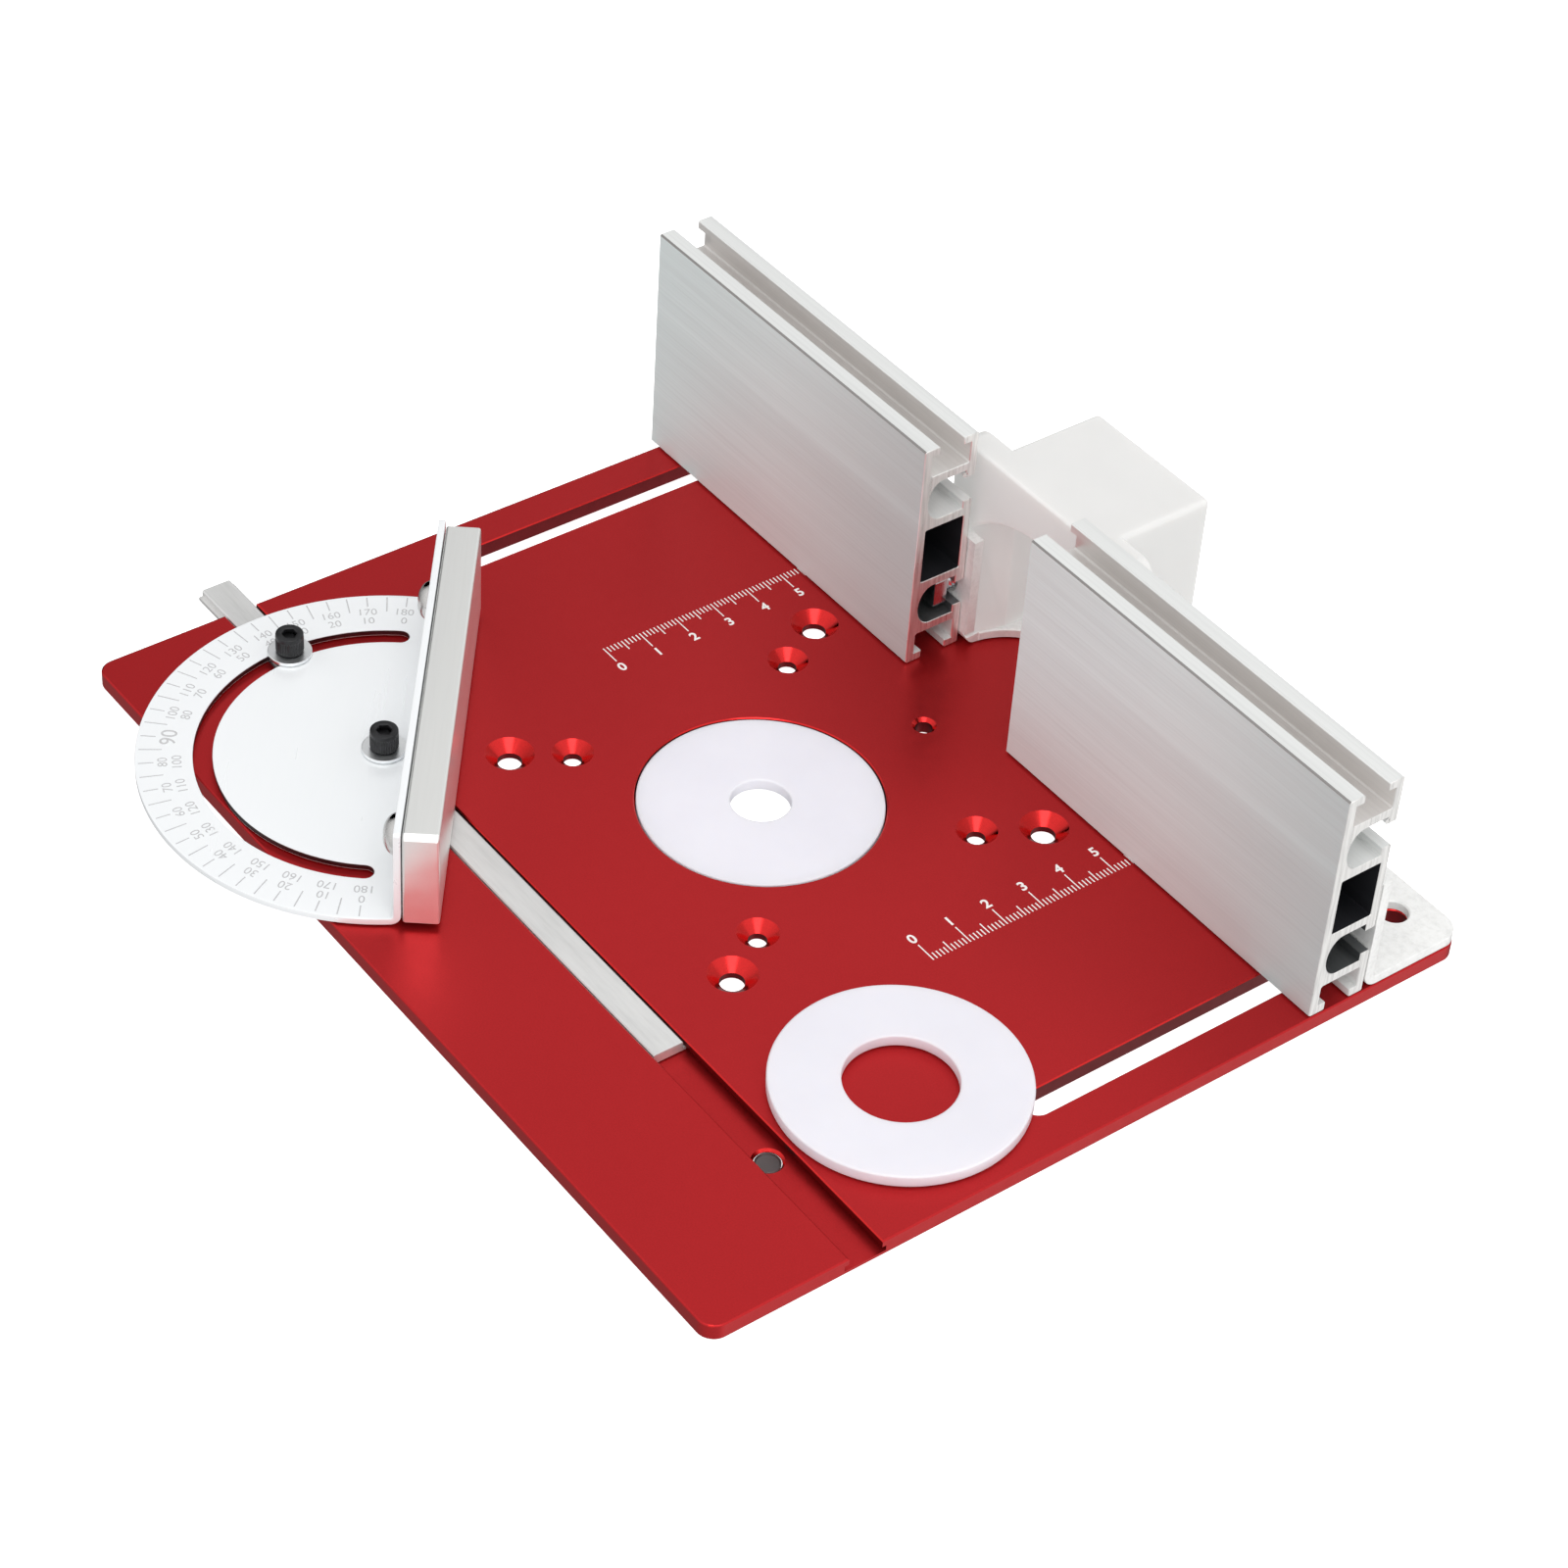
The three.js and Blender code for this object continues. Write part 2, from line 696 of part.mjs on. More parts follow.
function capWasher(minZ) {
  const s = capScrew;
  const outer = post(0, 0, minZ, minZ + s.washerThickness, s.washerRadius);
  return cut(outer, [post(0, 0, minZ - PAST, minZ + s.washerThickness + PAST, s.holeRadius)]);
}

/** A dome-headed screw about its own axis: its head's flat side is at 0 and its shank goes down. */
function faceScrewBody() {
  const s = faceScrew;
  const dome = ellipsePoints(0, 0, s.headRadius, s.headHeight, Math.PI * 0.05, Math.PI / 2, 7);
  const profile = [[0, 0], [s.headRadius, 0], ...dome.slice(0, -1), [0, s.headHeight]];
  const points = profile.map(([radius, height]) => new THREE.Vector2(radius, height));
  const head = solid(new THREE.LatheGeometry(points, MEDIUM).rotateX(Math.PI / 2));
  const toFace = miter.plateThickness + 2 * TURNED_GAP;
  const shank = post(0, 0, 1 - toFace - s.depth, 0.5, s.shankRadius);
  const socket = socketCutter(s.socketAcrossFlats, s.headHeight, s.socketDepth);
  return cut(head.add(shank), [socket]);
}

// ---------------------------------------------------------------- materials

function material(name, colour, roughness, metalness) {
  return new THREE.MeshStandardMaterial({ name, color: new THREE.Color(...colour), roughness, metalness });
}

const materials = {
  anodisedRed: () => material('anodised_red', [0.43, 0.02, 0.025], 0.38, 0.85),
  whitePlastic: () => material('white_plastic', [0.86, 0.85, 0.87], 0.35, 0),
  milkyPlastic: () => material('milky_plastic', [0.8, 0.8, 0.79], 0.45, 0),
  brushedAluminium: () => material('brushed_aluminium', [0.62, 0.63, 0.63], 0.38, 1),
  plainAluminium: () => material('plain_aluminium', [0.82, 0.81, 0.79], 0.45, 1),
  satinSilver: () => material('satin_silver', [0.78, 0.79, 0.8], 0.32, 1),
  brightPlate: () => material('bright_plate', [0.88, 0.9, 0.92], 0.28, 1),
  blackSteel: () => material('black_oxide_steel', [0.02, 0.02, 0.022], 0.4, 0.6),
  zincSteel: () => material('zinc_steel', [0.72, 0.73, 0.75], 0.25, 1),
};

// ---------------------------------------------------------------- assembly

function named(name, body, look, position = [0, 0, 0]) {
  const mesh = new THREE.Mesh(geometryOf(body), materials[look]());
  mesh.name = name;
  mesh.position.set(...position);
  return mesh;
}

function plateGroup() {
  const group = new THREE.Group();
  group.add(named('base_plate', basePlate(), 'anodisedRed'));
  group.add(named('slot_stop_plug', slotPlug(), 'zincSteel'));
  group.add(named('insert_ring', bitRing(ring.boreRadius, TOP - ring.thickness), 'whitePlastic'));
  const spare = bitRing(ring.spareBoreRadius, TOP + GAP);
  group.add(named('spare_ring', spare, 'whitePlastic', [...ring.spareCentre, 0]));
  return group;
}

function trackFasteners(group, side, sideName) {
  for (const [place, distance] of Object.entries(trackBolt.xs)) {
    const x = side * distance;
    const seatY = place === 'inner' ? HOOD_FRONT + hood.flangeDepth : BRACKET_WALL_BACK;
    const nutY = seatY + trackBolt.washerThickness + 2 * GAP;
    const name = `${sideName}_${place}`;
    const bolt = trackBoltBody(x, nutY + trackBolt.nutThickness);
    group.add(named(`track_bolt_${name}`, bolt, 'zincSteel'));
    group.add(named(`track_washer_${name}`, trackWasher(x, seatY + GAP), 'zincSteel'));
    group.add(named(`track_nut_${name}`, trackNut(x, nutY), 'zincSteel'));
  }
}

function fenceGroup() {
  const group = new THREE.Group();
  const leftMinX = fence.leftInnerX - fence.length;
  group.add(named('fence_bracket', fenceBracket(), 'plainAluminium'));
  group.add(named('left_fence_profile', fenceProfile(leftMinX), 'brushedAluminium'));
  group.add(named('right_fence_profile', fenceProfile(fence.rightInnerX), 'brushedAluminium'));
  group.add(named('dust_hood', hoodBody(), 'milkyPlastic'));
  trackFasteners(group, -1, 'left');
  trackFasteners(group, 1, 'right');
  return group;
}

function miterHead() {
  const head = new THREE.Group();
  head.position.set(miter.pivotX, miterSlot.y, 0);
  head.rotation.z = miter.turn;
  head.add(named('protractor_plate', protractor(), 'brightPlate'));
  head.add(named('miter_fence_bar', miterFace(), 'satinSilver'));
  for (const [sideName, side] of [['near', -1], ['far', 1]]) {
    const seat = [miter.flangeX - TURNED_GAP, faceScrewY(side), faceScrew.z];
    const screw = named(`face_screw_${sideName}`, faceScrewBody(), 'zincSteel', seat);
    screw.rotation.y = -Math.PI / 2;
    head.add(screw);
  }
  return head;
}

function miterGroup() {
  const group = new THREE.Group();
  group.add(named('miter_bar', miterBar(), 'brushedAluminium'));
  group.add(miterHead());
  const washerZ = MITER_PLATE_TOP + GAP;
  const headZ = washerZ + capScrew.washerThickness + GAP;
  const endZ = MITER_BAR_BOTTOM + GAP;
  const screws = [['pivot', miter.pivotX], ['angle_lock', miter.pivotX - miter.slotRadius]];
  for (const [name, x] of screws) {
    const place = [x, miterSlot.y, 0];
    group.add(named(`${name}_washer`, capWasher(washerZ), 'zincSteel', place));
    group.add(named(`${name}_screw`, capScrewBody(headZ, endZ), 'blackSteel', place));
  }
  return group;
}

/** The whole table, its origin moved to the middle of the foot of its box. */
function routerTable() {
  const pieces = new THREE.Group();
  pieces.add(plateGroup(), fenceGroup(), miterGroup());
  const box = new THREE.Box3().setFromObject(pieces, true);
  const middle = box.getCenter(new THREE.Vector3());
  pieces.position.set(-middle.x, -middle.y, -box.min.z);
  const table = new THREE.Group();
  table.add(pieces);
  return table;
}

export default routerTable();
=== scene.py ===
"""Looks of the router table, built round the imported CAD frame. Lengths are millimetres about the bit's
axis on the plate's working surface until a piece is made, and metres in Blender."""

from math import acos, asin, cos, degrees, pi, radians, sin, sqrt, tan, tau
from types import SimpleNamespace as Sizes

import bmesh
import bpy
from mathutils import Matrix, Vector
from mathutils.geometry import tessellate_polygon


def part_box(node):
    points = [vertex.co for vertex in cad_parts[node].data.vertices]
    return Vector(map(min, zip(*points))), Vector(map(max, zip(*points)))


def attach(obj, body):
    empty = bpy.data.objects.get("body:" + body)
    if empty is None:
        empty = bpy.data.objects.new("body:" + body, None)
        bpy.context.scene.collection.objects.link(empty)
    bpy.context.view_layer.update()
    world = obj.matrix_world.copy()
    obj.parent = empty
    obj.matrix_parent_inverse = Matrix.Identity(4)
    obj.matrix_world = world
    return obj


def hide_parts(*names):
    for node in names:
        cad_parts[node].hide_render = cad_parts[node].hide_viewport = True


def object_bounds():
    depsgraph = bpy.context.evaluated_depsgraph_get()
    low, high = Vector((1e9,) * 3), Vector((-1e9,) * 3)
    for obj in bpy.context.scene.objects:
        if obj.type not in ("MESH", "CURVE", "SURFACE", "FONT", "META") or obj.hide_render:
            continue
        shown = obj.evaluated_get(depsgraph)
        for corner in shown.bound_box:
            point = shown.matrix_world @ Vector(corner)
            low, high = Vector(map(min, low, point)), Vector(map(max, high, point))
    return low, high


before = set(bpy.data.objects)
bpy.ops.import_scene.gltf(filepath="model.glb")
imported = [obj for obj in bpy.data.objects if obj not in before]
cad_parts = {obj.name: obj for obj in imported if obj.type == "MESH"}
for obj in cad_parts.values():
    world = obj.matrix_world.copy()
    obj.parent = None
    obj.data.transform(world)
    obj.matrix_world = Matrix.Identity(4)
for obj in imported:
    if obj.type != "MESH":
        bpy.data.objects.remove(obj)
cad_low, cad_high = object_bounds()

MM = 0.001
PAST = 1.0  # how far a cutter runs past the face that it cuts


# ---- places from the frame


def bit_origin():
    """The bit's axis where it meets the working surface, in metres."""
    low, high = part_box("insert_ring")
    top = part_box("base_plate")[1].z
    return Vector(((low.x + high.x) / 2, (low.y + high.y) / 2, top))


ORIGIN = bit_origin()
TABLE_PLACE = Matrix.Translation(ORIGIN)


def span(node):
    """A node's lowest and highest corner, in millimetres about the bit's axis."""
    low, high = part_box(node)
    return (low - ORIGIN) / MM, (high - ORIGIN) / MM


def centre(node):
    low, high = span(node)
    return (low + high) / 2


def at(x, y, z=0.0):
    """A place in the row's frame, from millimetres about the bit's axis."""
    return Matrix.Translation(ORIGIN + Vector((x, y, z)) * MM)


# ---- outlines


def arc(x, y, radius_x, start, end, steps, radius_y=None):
    """Points on an arc between two angles in degrees."""
    radius_y = radius_x if radius_y is None else radius_y
    points = []
    for i in range(steps + 1):
        angle = radians(start + (end - start) * i / steps)
        points.append((x + radius_x * cos(angle), y + radius_y * sin(angle)))
    return points


def circle(x, y, radius, steps):
    return arc(x, y, radius, 0, 360, steps)[:-1]


def rounded(x0, y0, x1, y1, radius, steps):
    """A rectangle with round corners, counter-clockwise."""
    return [
        *arc(x1 - radius, y0 + radius, radius, -90, 0, steps),
        *arc(x1 - radius, y1 - radius, radius, 0, 90, steps),
        *arc(x0 + radius, y1 - radius, radius, 90, 180, steps),
        *arc(x0 + radius, y0 + radius, radius, 180, 270, steps),
    ]


def hexagon(across_flats):
    return circle(0, 0, across_flats / sqrt(3), 6)


def ring_section(radius, bore, low, high, ease, steps):
    """A ring's section as (radius, height), its four edges rounded."""
    section = []
    for x, z, start in (
        (radius - ease, high - ease, 0),
        (bore + ease, high - ease, 90),
        (bore + ease, low + ease, 180),
        (radius - ease, low + ease, 270),
    ):
        section += arc(x, z, ease, start, start + 90, steps)
    return section


def mirrored(half):
    """A closed outline from its half with x above zero."""
    return half + [(-x, y) for x, y in reversed(half)]


def inset(loop, distance):
    """The loop moved inwards along its corners' bisectors; a negative distance moves it outwards."""
    corners = []
    for i, (x, y) in enumerate(loop):
        before, after = Vector(loop[i - 1]), Vector(loop[(i + 1) % len(loop)])
        here = Vector((x, y))
        a, b = (here - before).normalized(), (after - here).normalized()
        middle = Vector((-a.y - b.y, a.x + b.x))
        corners.append(tuple(here + middle * (2 * distance / middle.length_squared)))
    return corners


def rim(size, steps):
    """How far in and how deep an eased edge is, from the cap's border to the full outline."""
    angles = [pi / 2 * i / steps for i in range(steps + 1)]
    return [(size * (1 - sin(a)), size * (1 - cos(a))) for a in angles]


# ---- solids

STAND = Matrix.Identity(4)
ALONG_X = Matrix(((0, 0, 1, 0), (1, 0, 0, 0), (0, 1, 0, 0), (0, 0, 0, 1)))  # outline in Y, Z
ALONG_Y = Matrix(((1, 0, 0, 0), (0, 0, 1, 0), (0, 1, 0, 0), (0, 0, 0, 1)))  # outline in X, Z


def closed(mesh, turn=STAND):
    bmesh.ops.transform(mesh, matrix=turn, verts=mesh.verts)
    bmesh.ops.recalc_face_normals(mesh, faces=mesh.faces)
    return mesh


def wall(mesh, rings):
    """Faces from each ring of corners to the next. A ring can be a single corner."""
    for below, above in zip(rings, rings[1:]):
        b, a = len(below), len(above)
        count = max(b, a)
        for i in range(count):
            j = (i + 1) % count
            corners = (below[i % b], below[j % b], above[j % a], above[i % a])
            mesh.faces.new(list(dict.fromkeys(corners)))


def capped(mesh, rings, turn=STAND):
    """A solid from its rings of corners, its two ends filled."""
    wall(mesh, rings)
    mesh.faces.new(rings[0])
    mesh.faces.new(rings[-1])
    return closed(mesh, turn)


def prism(outer, low, high, holes=(), pockets=(), *, edge, steps=1, turn=STAND):
    """An outline extruded from low to high, with eased edges, holes through it and pockets of
    (outline, depth) sunk in its high end."""
    mesh = bmesh.new()
    eased = rim(edge, steps)

    def rings(loop, levels):
        return [[mesh.verts.new((x, y, z)) for x, y in inset(loop, by)] for by, z in levels]

    low_loops, high_loops = [], []
    for number, loop in enumerate([outer, *holes]):
        side = 1 if number == 0 else -1
        levels = [(side * by, low + deep) for by, deep in eased]
        levels += [(side * by, high - deep) for by, deep in reversed(eased)]
        made = rings(loop, levels)
        wall(mesh, made)
        low_loops.append(made[0])
        high_loops.append(made[-1])
    for loop, depth in pockets:
        made = rings(loop, [(-by, high - deep) for by, deep in eased] + [(0, high - depth)])
        wall(mesh, made)
        mesh.faces.new(made[-1])
        high_loops.append(made[0])
    for loops in (low_loops, high_loops):
        corners = [v for loop in loops for v in loop]
        for a, b, c in tessellate_polygon([[v.co for v in loop] for loop in loops]):
            mesh.faces.new((corners[a], corners[b], corners[c]))
    return closed(mesh, turn)


def stack(loop, levels, turn=STAND):
    """A solid whose outline grows or shrinks with height: levels are (growth, height)."""
    mesh = bmesh.new()
    rings = [[mesh.verts.new((x, y, z)) for x, y in inset(loop, -by)] for by, z in levels]
    return capped(mesh, rings, turn)


def through(loop, low, high, ease, turn=STAND):
    """A cutter that runs past both ends of a wall, and eases their edges by opening out."""
    reach = PAST + ease
    levels = [(reach, low - PAST), (0, low + ease), (0, high - ease), (reach, high + PAST)]
    return stack(loop, levels, turn)


def lathe(profile, steps=48, ring=False):
    """A profile of (radius, height) turned round Z. It starts and ends on the axis, or is a ring's
    closed section."""
    mesh = bmesh.new()
    angles = [tau * i / steps for i in range(steps)]
    rings = []
    for radius, height in profile:
        turns = angles if radius > 1e-6 else angles[:1]
        rings.append([mesh.verts.new((radius * cos(a), radius * sin(a), height)) for a in turns])
    wall(mesh, rings + rings[:1] if ring else rings)
    return closed(mesh)


def moved(mesh, x, y, z=0.0):
    bmesh.ops.translate(mesh, vec=(x, y, z), verts=mesh.verts)
    return mesh


def in_scene(name, data):
    """A new object of that data, in the scene."""
    made = bpy.data.objects.new(name, data)
    bpy.context.scene.collection.objects.link(made)
    return made


def as_data(mesh, name="work"):
    data = bpy.data.meshes.new(name)
    mesh.to_mesh(data)
    mesh.free()
    return data


def combine(mesh, others, operation):
    """The solid after a boolean with each of the others in turn."""
    body = in_scene("work", as_data(mesh))
    for other in others:
        tool = in_scene("work", as_data(other))
        step = body.modifiers.new("step", "BOOLEAN")
        step.operation = operation
        step.solver = "EXACT"
        step.object = tool
        graph = bpy.context.evaluated_depsgraph_get()
        result = bpy.data.meshes.new_from_object(body.evaluated_get(graph))
        body.modifiers.clear()
        body.data = result
        bpy.data.objects.remove(tool)
    made = bmesh.new()
    made.from_mesh(body.data)
    bpy.data.objects.remove(body)
    return made


def cut(mesh, cutters):
    return combine(mesh, cutters, "DIFFERENCE")


def join(mesh, others):
    return combine(mesh, others, "UNION")


def gathered(meshes):
    """Several separate solids as one mesh."""
    whole = bmesh.new()
    for mesh in meshes:
        data = as_data(mesh)
        whole.from_mesh(data)
        bpy.data.meshes.remove(data)
    return whole


def piece(
    name, mesh, finishes, body, nodes=(), place=TABLE_PLACE, merge=1e-4, sharp=34, wears=None
):
    """A named object of the solid, riding on its body and standing for its CAD nodes. Where it has
    several finishes, wears(centre, normal) gives a face's number among them."""
    bmesh.ops.remove_doubles(mesh, verts=mesh.verts, dist=merge)
    bmesh.ops.scale(mesh, vec=(MM, MM, MM), verts=mesh.verts)
    data = as_data(mesh, name)
    data.shade_smooth()
    data.set_sharp_from_angle(angle=radians(sharp))
    made = in_scene(name, data)
    made.matrix_world = place
    weighted = made.modifiers.new("flat_faces", "WEIGHTED_NORMAL")
    weighted.keep_sharp = True
    for finish in finishes if wears else [finishes]:
        data.materials.append(finish)
    if wears:
        for face in data.polygons:
            face.material_index = wears(face.center / MM, face.normal)
    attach(made, body)
    if nodes:
        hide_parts(*nodes)
    return made


# ---- materials


MIX_A, MIX_B, MIX_RESULT = 6, 7, 2  # the colour sockets of a Mix node


def add_node(tree, kind, inputs, **settings):
    """A shader node of that kind. Each input is a value, or the socket that it is linked from."""
    node = tree.nodes.new(f"ShaderNode{kind}")
    for name, value in settings.items():
        setattr(node, name, value)
    for socket, value in inputs.items():
        if isinstance(value, bpy.types.NodeSocket):
            tree.links.new(value, node.inputs[socket])
        else:
            node.inputs[socket].default_value = value
    return node


def add_ramp(tree, fac, stops):
    """A colour ramp through stops of (position, colour)."""
    node = add_node(tree, "ValToRGB", {"Fac": fac})
    elements = node.color_ramp.elements
    for element, (position, colour) in zip(elements, (stops[0], stops[-1])):
        element.position = position
        element.color = (*colour, 1)
    for position, colour in stops[1:-1]:
        elements.new(position).color = (*colour, 1)
    return node.outputs["Color"]


class Finish:
    """A Principled material with a few procedural layers over it."""

    def __init__(self, name, colour, metallic, roughness):
        self.material = bpy.data.materials.new(name)
        self.material.use_nodes = True
        self.tree = self.material.node_tree
        self.shader = self.tree.nodes["Principled BSDF"]
        self.set("Base Color", (*colour, 1))
        self.set("Metallic", metallic)
        self.set("Roughness", roughness)
        self.place = self.node("TexCoord", {}).outputs["Object"]
        self.normal = None
        self.tone = colour

    def set(self, socket, value):
        self.shader.inputs[socket].default_value = value

    def link(self, output, socket):
        self.tree.links.new(output, self.shader.inputs[socket])

    def node(self, kind, inputs, **settings):
        return add_node(self.tree, kind, inputs, **settings)

    def noise(self, scale, detail, roughness=0.55, distortion=0.0, slant=0.0):
        """Noise of that scale in cells per metre, one for all axes or one for each, slanted about X."""
        scale = scale if isinstance(scale, tuple) else (scale, scale, scale)
        turn = (radians(slant), 0, 0)
        mapping = self.node("Mapping", {"Vector": self.place, "Scale": scale, "Rotation": turn})
        texture = self.node("TexNoise", {
            "Vector": mapping.outputs["Vector"], "Scale": 1, "Detail": detail, "Roughness": roughness,
            "Distortion": distortion,
        })
        return texture.outputs["Fac"]

    def turned(self, rings_per_metre):
        """Fine rings round the object's own Z axis."""
        inputs = {"Vector": self.place, "Scale": rings_per_metre, "Distortion": 1.2, "Detail": 2}
        wave = self.node("TexWave", inputs, wave_type="RINGS", rings_direction="Z")
        return wave.outputs["Fac"]

    def shades(self, fac, *stops):
        """The finish's own colour through stops of (position, share), darker below 1 and lighter above."""
        tones = [(position, tuple(min(1.0, c * share) for c in self.tone)) for position, share in stops]
        return add_ramp(self.tree, fac, tones)

    def mix(self, fac, a, b, blend="MIX"):
        inputs = {"Factor": fac, MIX_A: a, MIX_B: b}
        node = self.node("Mix", inputs, data_type="RGBA", blend_type=blend)
        return node.outputs[MIX_RESULT]

    def dulled(self, tone, start, end, share):
        """Painted shade: the tone, falling to a share of itself between two X values of the object."""
        along = self.node("SeparateXYZ", {"Vector": self.place}).outputs["X"]
        inputs = {"Value": along, "From Min": start, "From Max": end, "To Min": 1, "To Max": share}
        fall = self.node("MapRange", inputs, interpolation_type="SMOOTHSTEP")
        return self.mix(1, tone, fall.outputs["Result"], "MULTIPLY")

    def colour(self, output):
        self.link(output, "Base Color")

    def rough(self, fac, low, high):
        inputs = {"Value": fac, "From Min": 0.3, "From Max": 0.7, "To Min": low, "To Max": high}
        self.link(self.node("MapRange", inputs).outputs["Result"], "Roughness")

    def bump(self, height, depth, strength):
        """A bump of the given depth in millimetres, over any bump already there."""
        inputs = {"Height": height, "Strength": strength, "Distance": depth * MM}
        if self.normal is not None:
            inputs["Normal"] = self.normal
        self.normal = self.node("Bump", inputs).outputs["Normal"]
        self.link(self.normal, "Normal")


def anodised_red(
    name, colour=(0.525, 0.019, 0.0225), metallic=0.82, roughness=(0.31, 0.4), grain_depth=1.0
):
    """Satin red anodising over a bead-blasted grain."""
    f = Finish(name, colour, metallic, roughness[0])
    cloud = f.noise(9, 2)
    grain = f.noise(2600, 2, 0.6)
    clouds = f.shades(cloud, (0.3, 0.93), (0.7, 1.07))
    specks = f.shades(grain, (0.32, 0.84), (0.68, 1.12))
    f.colour(f.mix(0.4, clouds, specks))
    f.rough(f.noise(340, 4), *roughness)
    f.bump(grain, 0.012 * grain_depth, 0.35)
    return f.material


def brushed(
    name, colour, along, *, roughness, metallic, fine=1500, coarse=16, depth=0.02, contrast=0.16,
    dull=None,
):
    """Metal brushed along one axis, with fine streaks and broad bands. Dull, when given, is a painted shade
    along X: its start, its end and the share of the tone left.
    """
    f = Finish(name, colour, metallic, roughness[0])
    stretched = [fine, fine, fine]
    stretched[along] = coarse
    broad = [fine / 7, fine / 7, fine / 7]
    broad[along] = coarse / 4
    streaks = f.noise(tuple(stretched), 4, 0.6)
    bands = f.noise(tuple(broad), 3, 0.5)
    dark, light = 1 - contrast, 1 + contrast * 0.7
    fine_tone = f.shades(streaks, (0.28, dark), (0.5, 1), (0.74, light))
    broad_tone = f.shades(bands, (0.3, dark), (0.52, 1), (0.72, light))
    tone = f.mix(0.45, fine_tone, broad_tone)
    if dull:
        tone = f.dulled(tone, *dull)
    f.colour(tone)
    f.rough(bands, *roughness)
    f.bump(streaks, depth, 0.5)
    return f.material


def cast_metal(name, colour):
    """Mill-finish metal: speckled, with faint scuffs."""
    f = Finish(name, colour, 0.2, 0.36)
    speck = f.noise(900, 3, 0.6)
    scuff = f.noise((40, 160, 40), 5, 0.65, 0.6)
    specks = f.shades(speck, (0.3, 0.86), (0.55, 1), (0.75, 1.06))
    scuffs = f.shades(scuff, (0.35, 0.9), (0.6, 1.04))
    f.colour(f.mix(0.4, specks, scuffs))
    f.rough(scuff, 0.36, 0.5)
    f.bump(speck, 0.02, 0.4)
    return f.material


def sawn(name, colour):
    """Metal off the saw: coarse bright stripes slanting across the cut."""
    f = Finish(name, colour, 0.85, 0.3)
    stripes = f.noise((60, 1500, 90), 2, 0.5, slant=-38)
    f.colour(f.shades(stripes, (0.35, 0.8), (0.6, 1)))
    f.rough(stripes, 0.26, 0.4)
    f.bump(stripes, 0.06, 0.6)
    return f.material


def plastic(name, colour, roughness, glow, radius, turned=False, lit=0.0):
    """Moulded plastic that lets a little light in. Lit is a painted glow: emission that stands in for light
    through its walls.
    """
    f = Finish(name, colour, 0, roughness)
    f.set("Subsurface Weight", glow)
    f.set("Subsurface Scale", radius * MM)
    f.set("Subsurface Radius", (1.0, 0.95, 0.9))
    # Painted glow: emission in place of light that comes through the walls.
    f.set("Emission Color", (1, 1, 0.99, 1))
    f.set("Emission Strength", lit)
    cloud = f.noise(30, 4)
    mottle = f.noise(700, 2)
    f.colour(f.shades(cloud, (0.3, 0.965), (0.7, 1.02)))
    f.rough(cloud, roughness - 0.05, roughness + 0.06)
    f.bump(mottle, 0.012, 0.25)
    if turned:
        f.bump(f.turned(900), 0.008, 0.3)
    return f.material


def plated(name, colour, roughness, turned=False):
    f = Finish(name, colour, 1.0, roughness[0])
    haze = f.noise(260, 4)
    f.colour(f.shades(haze, (0.3, 0.9), (0.7, 1.05)))
    f.rough(haze, *roughness)
    f.bump(f.noise(1800, 2), 0.006, 0.3)
    if turned:
        f.bump(f.turned(1400), 0.01, 0.4)
    return f.material


def black_oxide(name):
    f = Finish(name, (0.012, 0.012, 0.014), 0.35, 0.36)
    haze = f.noise(420, 4)
    dark, light = (0.008, 0.008, 0.009), (0.03, 0.03, 0.033)
    f.colour(add_ramp(f.tree, haze, [(0.35, dark), (0.75, light)]))
    f.rough(haze, 0.28, 0.46)
    f.bump(f.noise(2400, 2), 0.01, 0.35)
    return f.material


def ink(name, colour):
    """Printed or engraved marks: slightly uneven."""
    f = Finish(name, colour, 0, 0.5)
    wear = f.noise(2200, 3)
    f.colour(f.shades(wear, (0.3, 0.85), (0.6, 1)))
    f.bump(wear, 0.006, 0.3)
    return f.material


RED = anodised_red("anodised_red")
CUT_RED = anodised_red("machined_red", (0.7, 0.03, 0.03), 0.97, (0.16, 0.24), 0.3)
# Painted shade: a dark copy of the red for the walls of holes and slots.
SHADED_RED = anodised_red("painted_shade_red", (0.13, 0.006, 0.008), 0.9, (0.3, 0.4))
RING_WHITE = plastic("ring_plastic", (0.85, 0.835, 0.9), 0.34, glow=0.6, radius=3, turned=True)
# The hood carries a painted glow, an emission in place of light through its walls.
HOOD_WHITE = plastic("hood_plastic", (0.6, 0.595, 0.585), 0.42, glow=0.8, radius=5, lit=0.22)
FENCE_METAL = brushed(
    "fence_aluminium", (0.8, 0.81, 0.8), 0, roughness=(0.5, 0.6), contrast=0.09, metallic=0.2
)
# Painted shade: near-black for the walls of the fence's hollow chamber, and dark grey for its lower track.
CHAMBER_PAINTED_SHADE = brushed("fence_chamber_painted_shade", (0.035, 0.036, 0.042), 0, roughness=(0.4, 0.5), metallic=0.6)
TRACK_PAINTED_SHADE = brushed("fence_track_painted_shade", (0.2, 0.21, 0.215), 0, roughness=(0.3, 0.4), metallic=0.8)
